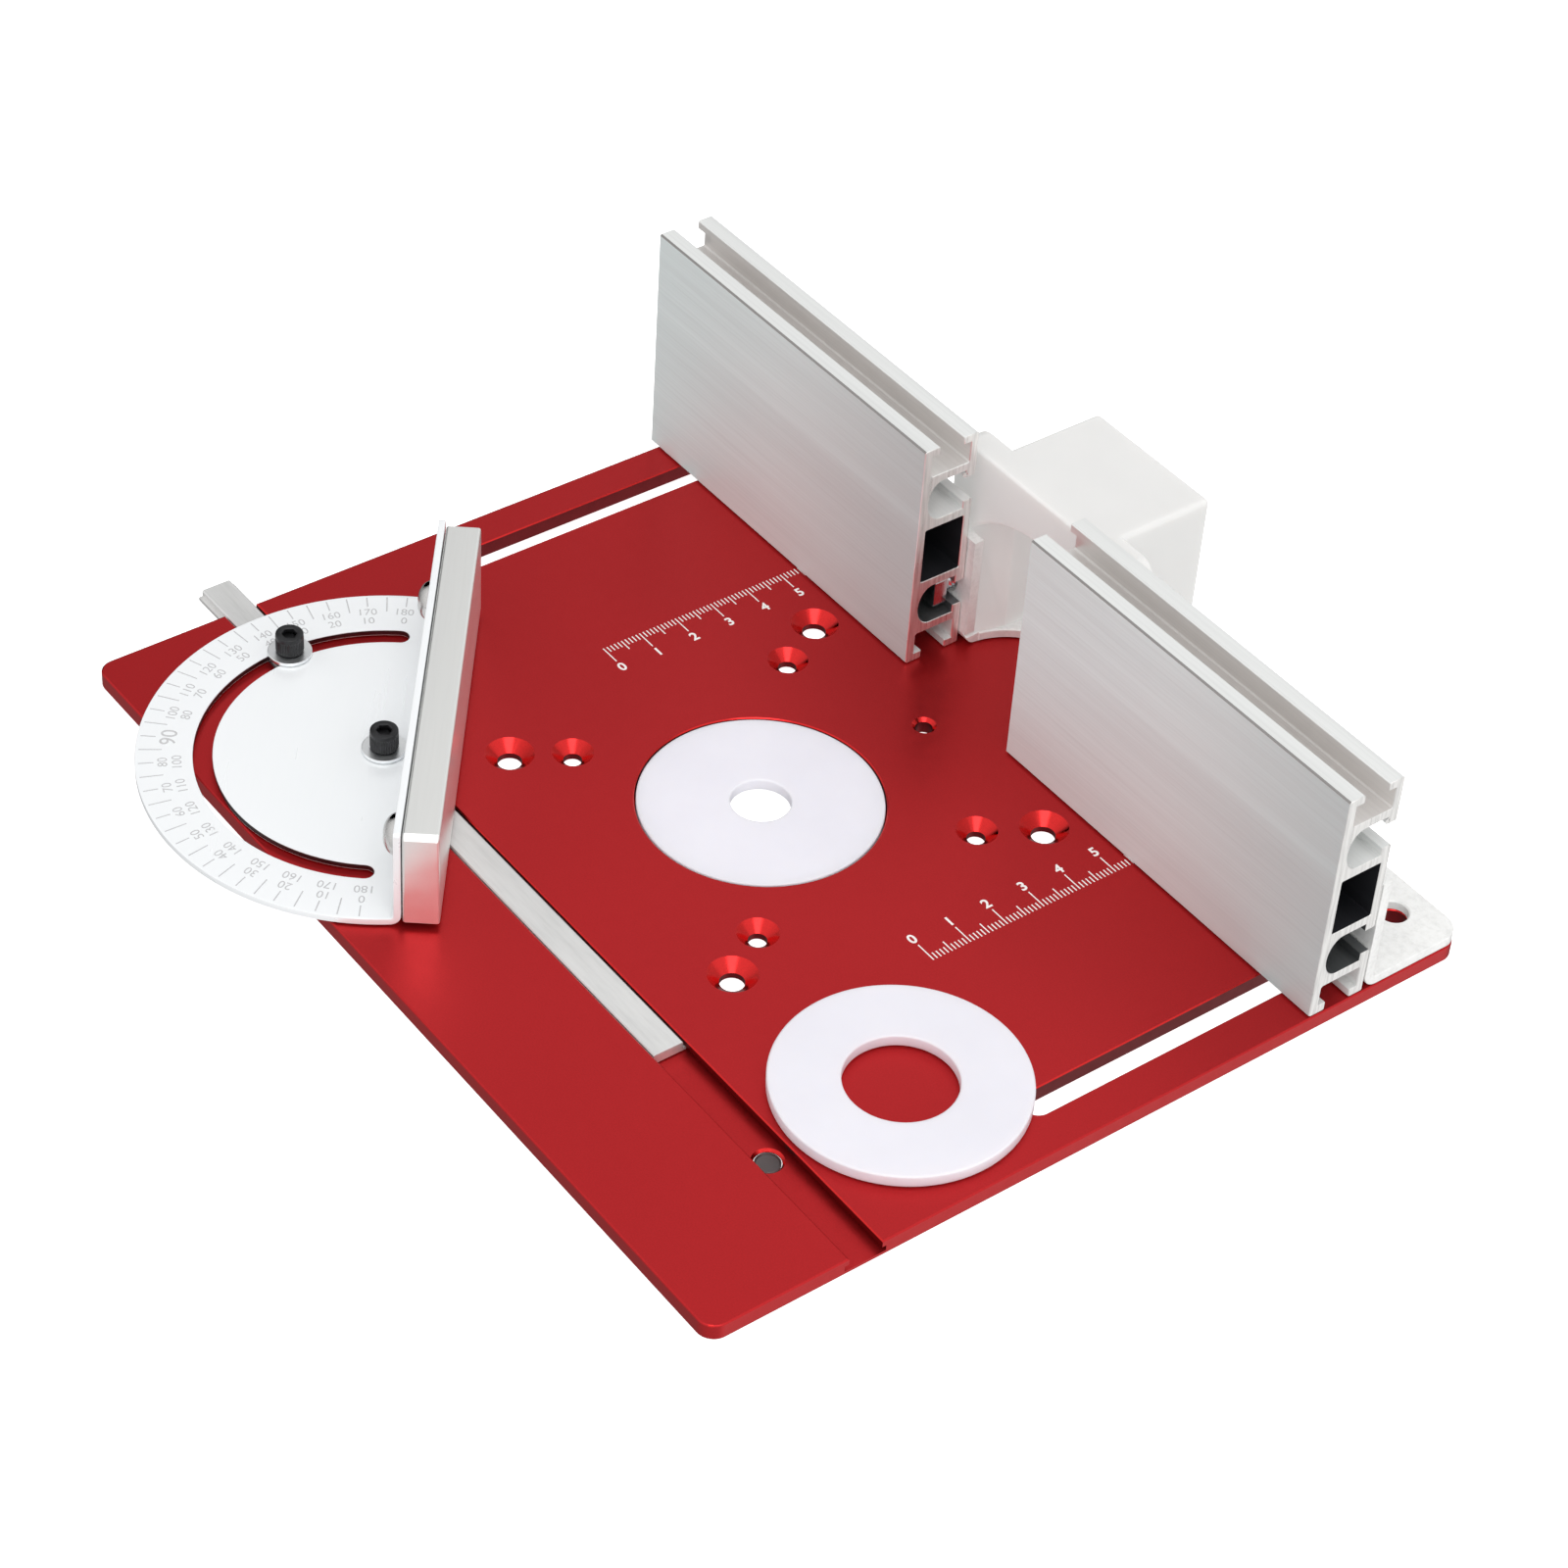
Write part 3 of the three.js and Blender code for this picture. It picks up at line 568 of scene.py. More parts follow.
# The front face: painted shade darkens it towards one end.
FACE_METAL = brushed(
    "fence_front", (0.75, 0.84, 0.835), 0, roughness=(0.5, 0.6), contrast=0.1, metallic=0.2,
    dull=(0.04, 0.11, 0.76),
)
CHANNEL_METAL = brushed(
    "fence_channel", (0.8, 0.775, 0.755), 0, roughness=(0.36, 0.48), contrast=0.1, metallic=0.5
)
EDGE_METAL = brushed("fence_edge", (0.3, 0.29, 0.28), 0, roughness=(0.4, 0.5), metallic=0.6)
SAWN_METAL = sawn("sawn_aluminium", (0.93, 0.92, 0.9))
BRACKET_METAL = cast_metal("bracket_aluminium", (0.96, 0.96, 0.945))
BAR_METAL = brushed(
    "slot_bar_aluminium", (0.8, 0.8, 0.79), 0, fine=900, coarse=90, roughness=(0.34, 0.46),
    contrast=0.14, metallic=0.6,
)
SATIN = brushed(
    "satin_silver", (0.93, 0.935, 0.915), 1, fine=1900, coarse=60, roughness=(0.28, 0.36), depth=0.006,
    contrast=0.03, metallic=0.78,
)
SHEET = brushed(
    "protractor_sheet", (0.965, 0.985, 1.0), 1, fine=1700, coarse=50, roughness=(0.26, 0.34),
    depth=0.003, contrast=0.008, metallic=0.15,
)
BLACK = black_oxide("black_oxide")
ZINC = plated("zinc_plate", (0.7, 0.71, 0.73), (0.14, 0.24))
DOME_ZINC = plated("dome_zinc_plate", (0.62, 0.61, 0.6), (0.2, 0.3))
DULL_STEEL = plated("dull_steel", (0.17, 0.15, 0.15), (0.4, 0.55))
TURNED_ZINC = plated("turned_zinc_plate", (0.93, 0.95, 0.97), (0.26, 0.36), turned=True)
WHITE_INK = ink("ruler_ink", (0.97, 0.94, 0.92))
GREY_INK = ink("scale_ink", (0.6, 0.6, 0.61))
# Painted shade: near-black for the wall of the protractor's curved slot.
SLOT_WALL_PAINTED_SHADE = plated("slot_wall_painted_shade", (0.09, 0.075, 0.075), (0.4, 0.5))


# ---- plate

PLATE = Sizes(corner=4, edge=0.4)
FLARE = 0.25  # broken edge round every hole and slot
SEAT = Sizes(radius=27.65, depth=3.15, ledge=24)
FENCE_SLOT = Sizes(x=104.9, width=6.6, y0=-11, y1=94)
MITER_SLOT = Sizes(y=-60.9, half=4.1, undercut=5.1, depth=3, lip=1.6)
BASE_HOLES = (
    Sizes(centre=(-0.9, 4.7), half=(41.7, 41.95), radius=2.75, head=5.5, cone=2.35),
    Sizes(centre=(-0.9, 4.1), half=(34.5, 29.5), radius=2.1, head=4.65, cone=2.25),
)
STARTER_PIN_HOLE = Sizes(centre=(-0.5, 45.7), radius=2.0, head=2.8, cone=0.8)
PLUG_HOLE = Sizes(radius=2.95, head=3.5, cone=0.55)


def countersink(x, y, radius, head, depth, top=0.0, bottom=-4.0):
    """A cutter: a hole with a cone at its top, and a broken edge below."""
    profile = [
        (0, bottom - PAST), (radius + PAST + FLARE, bottom - PAST), (radius, bottom + FLARE),
        (radius, top - depth), (head, top), (head + PAST, top + PAST), (0, top + PAST),
    ]
    return moved(lathe(profile, 64), x, y)


def ring_seat(bottom):
    """The bit ring's seat, and the opening inside its ledge."""
    radius, ledge, depth = SEAT.radius, SEAT.ledge, SEAT.depth
    profile = [
        (0, bottom - PAST), (ledge + PAST + FLARE, bottom - PAST), (ledge, bottom + FLARE),
        (ledge, -depth), (radius, -depth), (radius, -FLARE),
        (radius + PAST + FLARE, PAST), (0, PAST),
    ]
    return lathe(profile, 160)


def screw_holes():
    """Two rectangles of countersunk holes for the router's base, and the starter pin's hole."""
    cutters = []
    for hole in BASE_HOLES:
        for side_x in (-1, 1):
            for side_y in (-1, 1):
                x = hole.centre[0] + side_x * hole.half[0]
                y = hole.centre[1] + side_y * hole.half[1]
                cutters.append(countersink(x, y, hole.radius, hole.head, hole.cone))
    pin = STARTER_PIN_HOLE
    cutters.append(countersink(*pin.centre, pin.radius, pin.head, pin.cone))
    return cutters


def fence_slots(bottom):
    half = FENCE_SLOT.width / 2
    cutters = []
    for side in (-1, 1):
        x = side * FENCE_SLOT.x
        loop = rounded(x - half, FENCE_SLOT.y0, x + half, FENCE_SLOT.y1, half, 16)
        cutters.append(through(loop, bottom, 0, FLARE))
    return cutters


def miter_channel(low_x, high_x):
    """The miter slot's undercut section, from edge to edge."""
    m = MITER_SLOT
    right = [
        (m.undercut, -m.depth), (m.undercut, -m.lip), (m.half, -m.lip),
        (m.half, -FLARE), (m.half + FLARE + PAST, PAST),
    ]
    section = [(y + m.y, z) for y, z in mirrored(right)]
    return stack(section, [(0, low_x - PAST), (0, high_x + PAST)], ALONG_X)


def base_plate():
    low, high = span("base_plate")
    bottom = low.z
    outline = rounded(low.x, low.y, high.x, high.y, PLATE.corner, 12)
    body = prism(outline, low.z, high.z, edge=PLATE.edge, steps=3)
    plug = centre("slot_stop_plug")
    hole = PLUG_HOLE
    cutters = [
        ring_seat(bottom),
        *screw_holes(),
        *fence_slots(bottom),
        miter_channel(low.x, high.x),
        countersink(plug.x, plug.y, hole.radius, hole.head, hole.cone, -MITER_SLOT.depth, bottom),
    ]
    middle = (low + high) / 2
    reach = (high - low) / 2 - Vector((1, 1, 0))

    def surface(where, normal):
        """0 the skin, 1 a cone or a broken edge, 2 the wall of a hole or slot, painted dark as shade."""
        if abs(where.x - middle.x) >= reach.x or abs(where.y - middle.y) >= reach.y:
            return 0
        if abs(normal.z) < 0.2:
            return 2
        return 1 if 0.2 < normal.z < 0.97 else 0

    return piece(
        "red_plate", cut(body, cutters), (RED, CUT_RED, SHADED_RED), "table",
        ["base_plate"], wears=surface,
    )


def stop_plug():
    """A pressed steel plug with a dished face, low in the hole in the slot's floor."""
    low, high = span("slot_stop_plug")
    radius = (high.x - low.x) / 2
    ease, brim, dish = 0.1, 0.25, 0.35
    profile = [
        (0, low.z), (radius - ease, low.z), (radius, low.z + ease),
        (radius, high.z - ease), (radius - ease, high.z), (radius - brim, high.z),
        (radius - 0.4, high.z - 0.3), (0, high.z - dish),
    ]
    mesh = moved(lathe(profile, 48), *centre("slot_stop_plug").xy)
    return piece("slot_plug", mesh, DULL_STEEL, "table", ["slot_stop_plug"])


def bit_ring(name, node, body, bore):
    """A turned plastic ring, its edges rounded."""
    low, high = span(node)
    radius = (high.x - low.x) / 2
    mesh = lathe(ring_section(radius, bore, low.z, high.z, 0.45, 5), 160, ring=True)
    return piece(name, mesh, RING_WHITE, body, [node], at(*centre(node).xy))


# ---- marks

MARK_LOW, MARK_HIGH = -0.02, 0.03  # printed marks stand this far into and over their surface
MARK_MIDDLE = (MARK_LOW + MARK_HIGH) / 2
MARK_EDGE = 0.012


def digits(text, size, weight=0.0):
    """A number as a thin solid, its middle at the origin, reading along +X."""
    font = bpy.data.curves.new("digits", "FONT")
    font.body = text
    font.size = size
    font.offset = weight
    font.extrude = (MARK_HIGH - MARK_LOW) / 2
    font.resolution_u = 4
    writer = in_scene("digits", font)
    graph = bpy.context.evaluated_depsgraph_get()
    data = bpy.data.meshes.new_from_object(writer.evaluated_get(graph))
    bpy.data.objects.remove(writer)
    mesh = bmesh.new()
    mesh.from_mesh(data)
    bpy.data.meshes.remove(data)
    bmesh.ops.remove_doubles(mesh, verts=mesh.verts, dist=1e-4)
    low = [min(v.co[i] for v in mesh.verts) for i in range(3)]
    high = [max(v.co[i] for v in mesh.verts) for i in range(3)]
    return moved(mesh, *(-(a + b) / 2 for a, b in zip(low, high)))


def tick(x0, x1, y, width):
    loop = [(x0, y - width / 2), (x1, y - width / 2), (x1, y + width / 2), (x0, y + width / 2)]
    return prism(loop, MARK_LOW, MARK_HIGH, edge=MARK_EDGE)


RULERS = (
    Sizes(side="left", foot=-61.35, way=1, number=-53.8),
    Sizes(side="right", foot=60.45, way=-1, number=52.95),
)
RULER = Sizes(
    start=0.6, centimetres=7, long=5.35, medium=3.3, short=1.9, width=0.29,
    digit=3.7, weight=0.09,
)


def tick_length(step):
    if step % 10 == 0:
        return RULER.long
    if step % 5 == 0:
        return RULER.medium
    return RULER.short


def ruler(facts):
    """Centimetre ruler along Y: a tick each millimetre, and a number each centimetre."""
    marks = []
    for step in range(RULER.centimetres * 10 + 1):
        ends = sorted((facts.foot, facts.foot + facts.way * tick_length(step)))
        marks.append(tick(*ends, RULER.start + step, RULER.width))
    for number in range(RULER.centimetres + 1):
        figure = digits(str(number), RULER.digit, RULER.weight)
        bmesh.ops.rotate(figure, matrix=Matrix.Rotation(pi / 2, 3, "Z"), verts=figure.verts)
        marks.append(moved(figure, facts.number, RULER.start + 10 * number, MARK_MIDDLE))
    name = f"{facts.side}_ruler_marks"
    return piece(name, gathered(marks), WHITE_INK, "table", merge=1e-5)


# ---- fence

FENCE = Sizes(
    depth=15, height=59.5, front_wall=2.2, back_wall=2, edge=0.4, lip=2.1,
    mouth=(4.3, 11), end_slot=7.6, back_slot=15, back_half=5.2, back_mouth=3.25,
    back_lip=2.6, back_round=3.7, chamber_half=7.3,
)
FENCE_FINISHES = (
    FENCE_METAL, SAWN_METAL, CHAMBER_PAINTED_SHADE, TRACK_PAINTED_SHADE, EDGE_METAL, FACE_METAL, CHANNEL_METAL
)


def fence_section():
    """The extrusion's outline and its chamber, as (depth, height) from its front foot."""
    f = FENCE
    inside, lip_inside = f.depth - f.back_wall, f.depth - f.back_lip
    low, high = f.back_slot - f.back_half, f.back_slot + f.back_half
    mouth_low, mouth_high = f.back_slot - f.back_mouth, f.back_slot + f.back_mouth
    nose_x = f.front_wall + f.back_round
    nose = arc(nose_x, f.back_slot, f.back_round, -90, -270, 24, f.back_half)
    ease = 0.35
    lower = [
        (f.edge, 0), (f.mouth[0] - ease, 0), (f.mouth[0], ease),
        (f.mouth[0], f.lip), (f.front_wall, f.lip), (f.front_wall, f.end_slot - ease),
        (f.front_wall + ease, f.end_slot), (inside - ease, f.end_slot),
        (inside, f.end_slot - ease), (inside, f.lip), (f.mouth[1], f.lip),
        (f.mouth[1], ease), (f.mouth[1] + ease, 0), (f.depth - ease, 0),
        (f.depth, ease), (f.depth, mouth_low - ease), (f.depth - ease, mouth_low),
        (lip_inside, mouth_low), (lip_inside, low),
        *nose,
        (lip_inside, high), (lip_inside, mouth_high), (f.depth - ease, mouth_high),
        (f.depth, mouth_high + ease),
    ]
    upper = [(u, f.height - w) for u, w in reversed(lower)]
    face = [(0, f.height - f.edge), (0, f.edge)]
    middle = f.height / 2
    chamber = rounded(
        f.front_wall, middle - f.chamber_half, inside, middle + f.chamber_half, 0.4, 3
    )
    return lower + upper + face, chamber


def mark_hole():
    """The small bore that runs through the corner below the top slot."""
    from_back, below_slot, radius = 2.8, 3.2, 0.5
    return circle(
        FENCE.depth - from_back, FENCE.height - FENCE.end_slot - below_slot, radius, 16
    )


def fence_profile(name, node, body):
    low, high = span(node)
    outline, chamber = fence_section()
    mesh = prism(outline, 0, high.x - low.x, [chamber, mark_hole()], edge=0.15, turn=ALONG_X)
    return piece(name, mesh, FENCE_FINISHES, body, [node], at(*low), wears=fence_surface)


def fence_surface(where, normal):
    """Which of the fence's finishes: 0 is the skin, 1 an end, 2 the chamber and 3 the lower track, both
    painted dark as shade, 4 the top edge, 5 the front, with painted shade towards one end, 6 the top
    channel."""
    f = FENCE
    if abs(normal.x) > 0.5:
        return 1
    inside = f.front_wall - 0.05 < where.y < f.depth - 0.4
    if inside and abs(where.z - f.height / 2) < f.chamber_half + 0.05:
        return 2
    if inside and abs(where.z - f.back_slot) < f.back_half + 0.05:
        return 3
    if normal.y < -0.5 and where.y < 1:
        return 4 if normal.z > 0.5 else 5
    if inside and f.height - f.end_slot - 0.05 < where.z < f.height - 0.4:
        return 6
    return 0


BRACKET = Sizes(
    thickness=2.5, bend=1.2, gap=17.2, gap_y=71.2, corner=5, clamp=(104.9, 90.4),
    hole=3.3, bolts=(25.4, 100), edge=0.3,
)


def fence_bracket():
    """A bent angle: an upright wall in two halves on one flange with an arc cut from it."""
    low, high = span("fence_bracket")
    b = BRACKET
    t, r = b.thickness, b.bend
    corner_y, corner_z = low.y + t + r, low.z + t + r
    section = [
        *arc(corner_y, corner_z, t + r, 180, 270, 12),
        (high.y, low.z), (high.y, low.z + t),
        *arc(corner_y, corner_z, r, 270, 180, 8),
        (low.y + t, high.z), (low.y, high.z),
    ]
    body = prism(section, low.x, high.x, edge=b.edge, steps=2, turn=ALONG_X)
    wall_back = low.y + t
    gap_loop = rounded(-b.gap, low.y - PAST, b.gap, wall_back + r + 0.4, 0.2, 2)
    top = low.z + t
    gap_arc = through(circle(0, 0, b.gap, 96), low.z, top, b.edge)
    cutters = [stack(gap_loop, [(0, low.z - PAST), (0, high.z + PAST)]), moved(gap_arc, 0, b.gap_y)]
    bolt_z = centre("track_bolt_left_outer").z
    for side in (-1, 1):
        hole = through(circle(0, 0, b.hole, 48), low.z, top, b.edge)
        cutters.append(moved(hole, side * b.clamp[0], b.clamp[1]))
        for distance in b.bolts:
            hole = through(circle(0, 0, b.hole, 40), low.y, wall_back, b.edge, ALONG_Y)
            cutters.append(moved(hole, side * distance, 0, bolt_z))
        end = high.x if side > 0 else low.x
        round_x, round_y = end - side * b.corner, high.y - b.corner
        corner = [
            (end + side * PAST, high.y + PAST),
            (end + side * PAST, round_y),
            *arc(round_x, round_y, b.corner, 0 if side > 0 else 180, 90, 12),
            (round_x, high.y + PAST),
        ]
        cutters.append(stack(corner, [(0, low.z - PAST), (0, top + PAST)]))
    return piece(
        "angle_bracket", cut(body, cutters), BRACKET_METAL, "fence_carriage",
        ["fence_bracket"],
    )


# ---- dust hood

HOOD = Sizes(
    flange_depth=6.9, box=19.2, wall=3.7, corner=4, throat_radius=31, throat_top=39.8,
    throat_half=22.5, throat_drop=1.5, foot_half=17.4, port=14, port_z=24, ease=0.7,
    flare=0.6, overlap=3, box_corner=1.2, box_ease=1.1, chamber_corner=1.5,
)


def throat_outline(leg, shoulder, top, foot):
    """The intake's outline in X and Z: straight legs under a flat arc."""
    edge = degrees(asin(shoulder / HOOD.throat_radius))
    crown = arc(0, top - HOOD.throat_radius, HOOD.throat_radius, 90 - edge, 90 + edge, 24)
    return [(-leg, foot), (leg, foot), *crown]


def funnel(front, back, start, end, flare):
    """A cutter along Y whose outline changes from the front one to the back one."""
    mesh = bmesh.new()
    reach = end - start
    levels = []
    for share, grow in ((-PAST / reach, PAST + flare), (flare / reach, 0.0), (1 + PAST / reach, 0.0)):
        change = max(share, 0)
        loop = [
            (fx + (bx - fx) * change, fz + (bz - fz) * change)
            for (fx, fz), (bx, bz) in zip(front, back)
        ]
        levels.append([mesh.verts.new((x, start + share * reach, z)) for x, z in inset(loop, -grow)])
    return capped(mesh, levels)


def dust_hood():
    low, high = span("dust_hood")
    h = HOOD
    flange_back = low.y + h.flange_depth
    face = rounded(low.x, low.z, high.x, high.z, h.corner, 8)
    flange = prism(face, low.y, flange_back, edge=h.ease, steps=5, turn=ALONG_Y)
    box_face = rounded(-h.box, low.z, h.box, high.z, h.box_corner, 5)
    box = prism(box_face, flange_back - h.overlap, high.y, edge=h.box_ease, steps=5, turn=ALONG_Y)
    body = join(flange, [box])
    inside = h.box - h.wall
    foot = low.z - PAST
    front = throat_outline(h.foot_half, h.throat_half, h.throat_top, foot)
    back = throat_outline(inside, inside, h.throat_top - h.throat_drop, foot)
    throat = funnel(front, back, low.y, flange_back, h.flare)
    chamber = stack(
        rounded(-inside, foot, inside, h.throat_top, h.chamber_corner, 5),
        [(0, flange_back), (0, high.y - h.wall)],
        ALONG_Y,
    )
    port = stack(
        circle(0, h.port_z, h.port, 96),
        [(0, high.y - h.wall - PAST), (0, high.y - h.flare), (PAST + h.flare, high.y + PAST)],
        ALONG_Y,
    )
    cutters = [throat, chamber, port]
    bolt_z = centre("track_bolt_left_inner").z
    for side in (-1, 1):
        bore = circle(0, 0, TRACK_BOLT.hole, 40)
        hole = stack(bore, [(0, low.y - PAST), (0, flange_back + PAST)], ALONG_Y)
        cutters.append(moved(hole, side * centre("track_bolt_right_inner").x, 0, bolt_z))
    return piece(
        "hood_shell", cut(body, cutters), HOOD_WHITE, "fence_carriage",
        ["dust_hood"], sharp=24,
    )


# ---- track fasteners


def threaded_rod(radius, length, pitch=1.0, depth=0.45):
    """A screw thread along Z, cut with a real helix."""
    mesh = bmesh.new()
    steps, rows = 28, int(length / pitch * 6)
    rings = []
    for k in range(rows + 1):
        height = length * k / rows
        ease = min(1.0, (length - height) / pitch)
        ring = []
        for i in range(steps):
            phase = (height / pitch - i / steps) % 1.0
            groove = abs(phase - 0.5) * 2
            r = radius - depth * groove - (1 - ease) * depth
            angle = tau * i / steps
            ring.append(mesh.verts.new((r * cos(angle), r * sin(angle), height)))
        rings.append(ring)
    return capped(mesh, rings)


def hex_nut(across, thickness, bore):
    """A hexagon nut with both faces chamfered to a circle."""
    corner = across / sqrt(3)
    edge, past = 0.25, 0.01
    body = prism(hexagon(across), 0, thickness, [circle(0, 0, bore, 32)], edge=edge)
    outer = across / 2 - edge
    grow = corner + 0.4
    slope = (grow - outer) * tan(radians(30))
    profile = [
        (0, -past), (outer, -past), (grow, slope),
        (grow, thickness - slope), (outer, thickness + past), (0, thickness + past),
    ]
    return combine(body, [lathe(profile, 64)], "INTERSECT")


def washer(radius, bore, thickness):
    return lathe(ring_section(radius, bore, 0, thickness, 0.15, 3), 64, ring=True)


TRACK_BOLT = Sizes(head=3.8, neck=1.5, shank=2.9, hole=3.3, nut_bore=3.0)
TO_BACK = Matrix.Rotation(-pi / 2, 4, "X")  # +Z becomes +Y


def fasteners(side, where):
    """One track bolt with a square head and a cut thread, its washer and its nut."""
    b = TRACK_BOLT
    tail = f"{side}_{where}"
    low, high = span(f"track_bolt_{tail}")
    middle = centre(f"track_bolt_{tail}")
    half = (high.x - low.x) / 2
    head, shank, neck_end = b.head, b.shank, b.head + b.neck
    square = prism(rounded(-half, -half, half, half, 1, 4), 0, head, edge=0.4, steps=2)
    neck = lathe([
        (0, head - 0.8), (shank, head - 0.8), (shank, neck_end - 0.3),
        (shank - 0.4, neck_end + 0.1), (0, neck_end + 0.1),
    ])
    rod = moved(threaded_rod(shank, high.y - low.y - neck_end), 0, 0, neck_end)

    def fit(kind, mesh, finish):
        """One piece of the set, at its own node's front end."""
        node = f"track_{kind}_{tail}"
        place = at(middle.x, span(node)[0].y, middle.z) @ TO_BACK
        piece(f"{kind}_{tail}", mesh, finish, "fence_carriage", [node], place)

    fit("bolt", gathered([square, neck, rod]), ZINC)
    low, high = span(f"track_washer_{tail}")
    fit("washer", washer((high.x - low.x) / 2, b.hole, high.y - low.y), TURNED_ZINC)
    low, high = span(f"track_nut_{tail}")
    fit("nut", hex_nut(high.z - low.z, high.y - low.y, b.nut_bore), ZINC)


# ---- miter gauge

SWING = radians(52)
PIVOT = centre("pivot_screw")
HEAD_PLACE = at(PIVOT.x, PIVOT.y) @ Matrix.Rotation(SWING, 4, "Z")

MITER_BAR = Sizes(
    top=3.7, flange=4.6, flange_thickness=1, edge=0.3, foot_edge=0.15, hole=2.1,
    hole_edge=0.2,
)
SHEET_METAL = Sizes(
    radius=54.1, thickness=1.6, slot=39.4, slot_width=4.25, slot_half=89.5, bend=1.0,
    flange_x=7.2, half_length=53.4, corner=0.8, edge=0.2, hole=2.1,
)
FACE = Sizes(
    gap=0.3, thickness=7.8, half=52.8, shift=-1.1, edge=0.55, end_chamfer=1.2,
    foot_chamfer=0.3,
)
CAP_SCREW = Sizes(radius=3.2, head=4.8, shank=1.9, socket=3.0, socket_depth=2.4, crown=0.9, bore=2.1)
FACE_SCREW = Sizes(y=39.1, hole=2.7, radius=4.8, head=3.2, shank=2.5, depth=6, socket=3.2)


def miter_bar():
    low, high = span("miter_bar")
    m = MITER_BAR
    height = high.z - low.z
    right = [
        (m.flange - m.foot_edge, 0), (m.flange, m.foot_edge), (m.flange, m.flange_thickness),
        (m.top, m.flange_thickness), (m.top, height - m.edge), (m.top - m.edge, height),
    ]
    body = prism(mirrored(right), low.x, high.x, edge=0.2, steps=2, turn=ALONG_X)
    body = moved(body, 0, centre("miter_bar").y, low.z)
    levels = [(0, low.z - PAST), (0, high.z - m.hole_edge), (PAST + m.hole_edge, high.z + PAST)]
    cutters = [
        moved(stack(circle(0, 0, m.hole, 40), levels), screw.x, screw.y)
        for screw in (PIVOT, centre("angle_lock_screw"))
    ]
    return piece(
        "gauge_bar", cut(body, cutters), BAR_METAL, "slot_bar", ["miter_bar"]
    )


def curved_slot():
    """The lock screw's slot about the pivot, counter-clockwise."""
    s = SHEET_METAL
    half, start, end = s.slot_width / 2, 180 - s.slot_half, 180 + s.slot_half

    def on_middle(angle):
        turn = radians(angle)
        return s.slot * cos(turn), s.slot * sin(turn)

    return [
        *arc(0, 0, s.slot + half, start, end, 96),
        *arc(*on_middle(end), half, end, end + 180, 12)[1:-1],
        *arc(0, 0, s.slot - half, end, start, 96),
        *arc(*on_middle(start), half, start + 180, start + 360, 12)[1:-1],
    ]


def bent(mesh, line, radius, middle):
    """Bends a flat sheet upwards past a line in X, about a bend of the given mid radius."""
    run = radius * pi / 2
    steps = 8
    for k in range(steps + 1):
        everything = [*mesh.verts, *mesh.edges, *mesh.faces]
        where = (line + run * k / steps, 0, 0)
        bmesh.ops.bisect_plane(mesh, geom=everything, plane_co=where, plane_no=(1, 0, 0))
    for v in mesh.verts:
        along, above = v.co.x - line, v.co.z - middle
        if along <= 0:
            continue
        angle = min(along / radius, pi / 2)
        straight = max(along - run, 0)
        reach = radius - above
        v.co.x = line + reach * sin(angle)
        v.co.z = middle + radius - reach * cos(angle) + straight
    return mesh


def protractor():
    low, high = span("protractor_plate")
    s = SHEET_METAL
    t = s.thickness
    bend_x = s.flange_x - s.bend
    mid_radius = s.bend + t / 2
    run = mid_radius * pi / 2

    def laid_flat(height):
        """Where a height on the flange lies along the sheet before it is bent."""
        return bend_x + run + (height - low.z - s.bend - t)

    flat_end = laid_flat(high.z)
    edge = degrees(acos(bend_x / s.radius))
    half = s.half_length
    outline = [
        *arc(0, 0, s.radius, edge, 360 - edge, 160),
        *arc(flat_end - s.corner, -half + s.corner, s.corner, -90, 0, 4),
        *arc(flat_end - s.corner, half - s.corner, s.corner, 0, 90, 4),
    ]
    hole_x = laid_flat(centre("face_screw_near").z)
    holes = [curved_slot(), circle(0, 0, s.hole, 32)]
    for side in (-1, 1):
        holes.append(circle(hole_x, FACE.shift + side * FACE_SCREW.y, FACE_SCREW.hole, 32))
    sheet = prism(outline, low.z, low.z + t, holes, edge=s.edge, steps=2)
    sheet = bent(sheet, bend_x, mid_radius, low.z + t / 2)

    def surface(where, normal):
        """0 the sheet, 1 the cut edge round the curved slot, painted dark as shade."""
        flat = where.z < low.z + t - 0.05
        on_slot = abs(where.xy.length - s.slot) < s.slot_width
        return 1 if flat and on_slot and abs(normal.z) < 0.3 else 0

    return piece(
        "protractor_sheet", sheet, (SHEET, SLOT_WALL_PAINTED_SHADE), "miter_head",
        ["protractor_plate"], HEAD_PLACE, wears=surface,
    )


SCALE = Sizes(
    rim=53.3, short=50.0, long=48.2, tick=0.3, outer=48.1, inner=45.0, middle=47.2,
    digit=3.1, big=5.2,
)


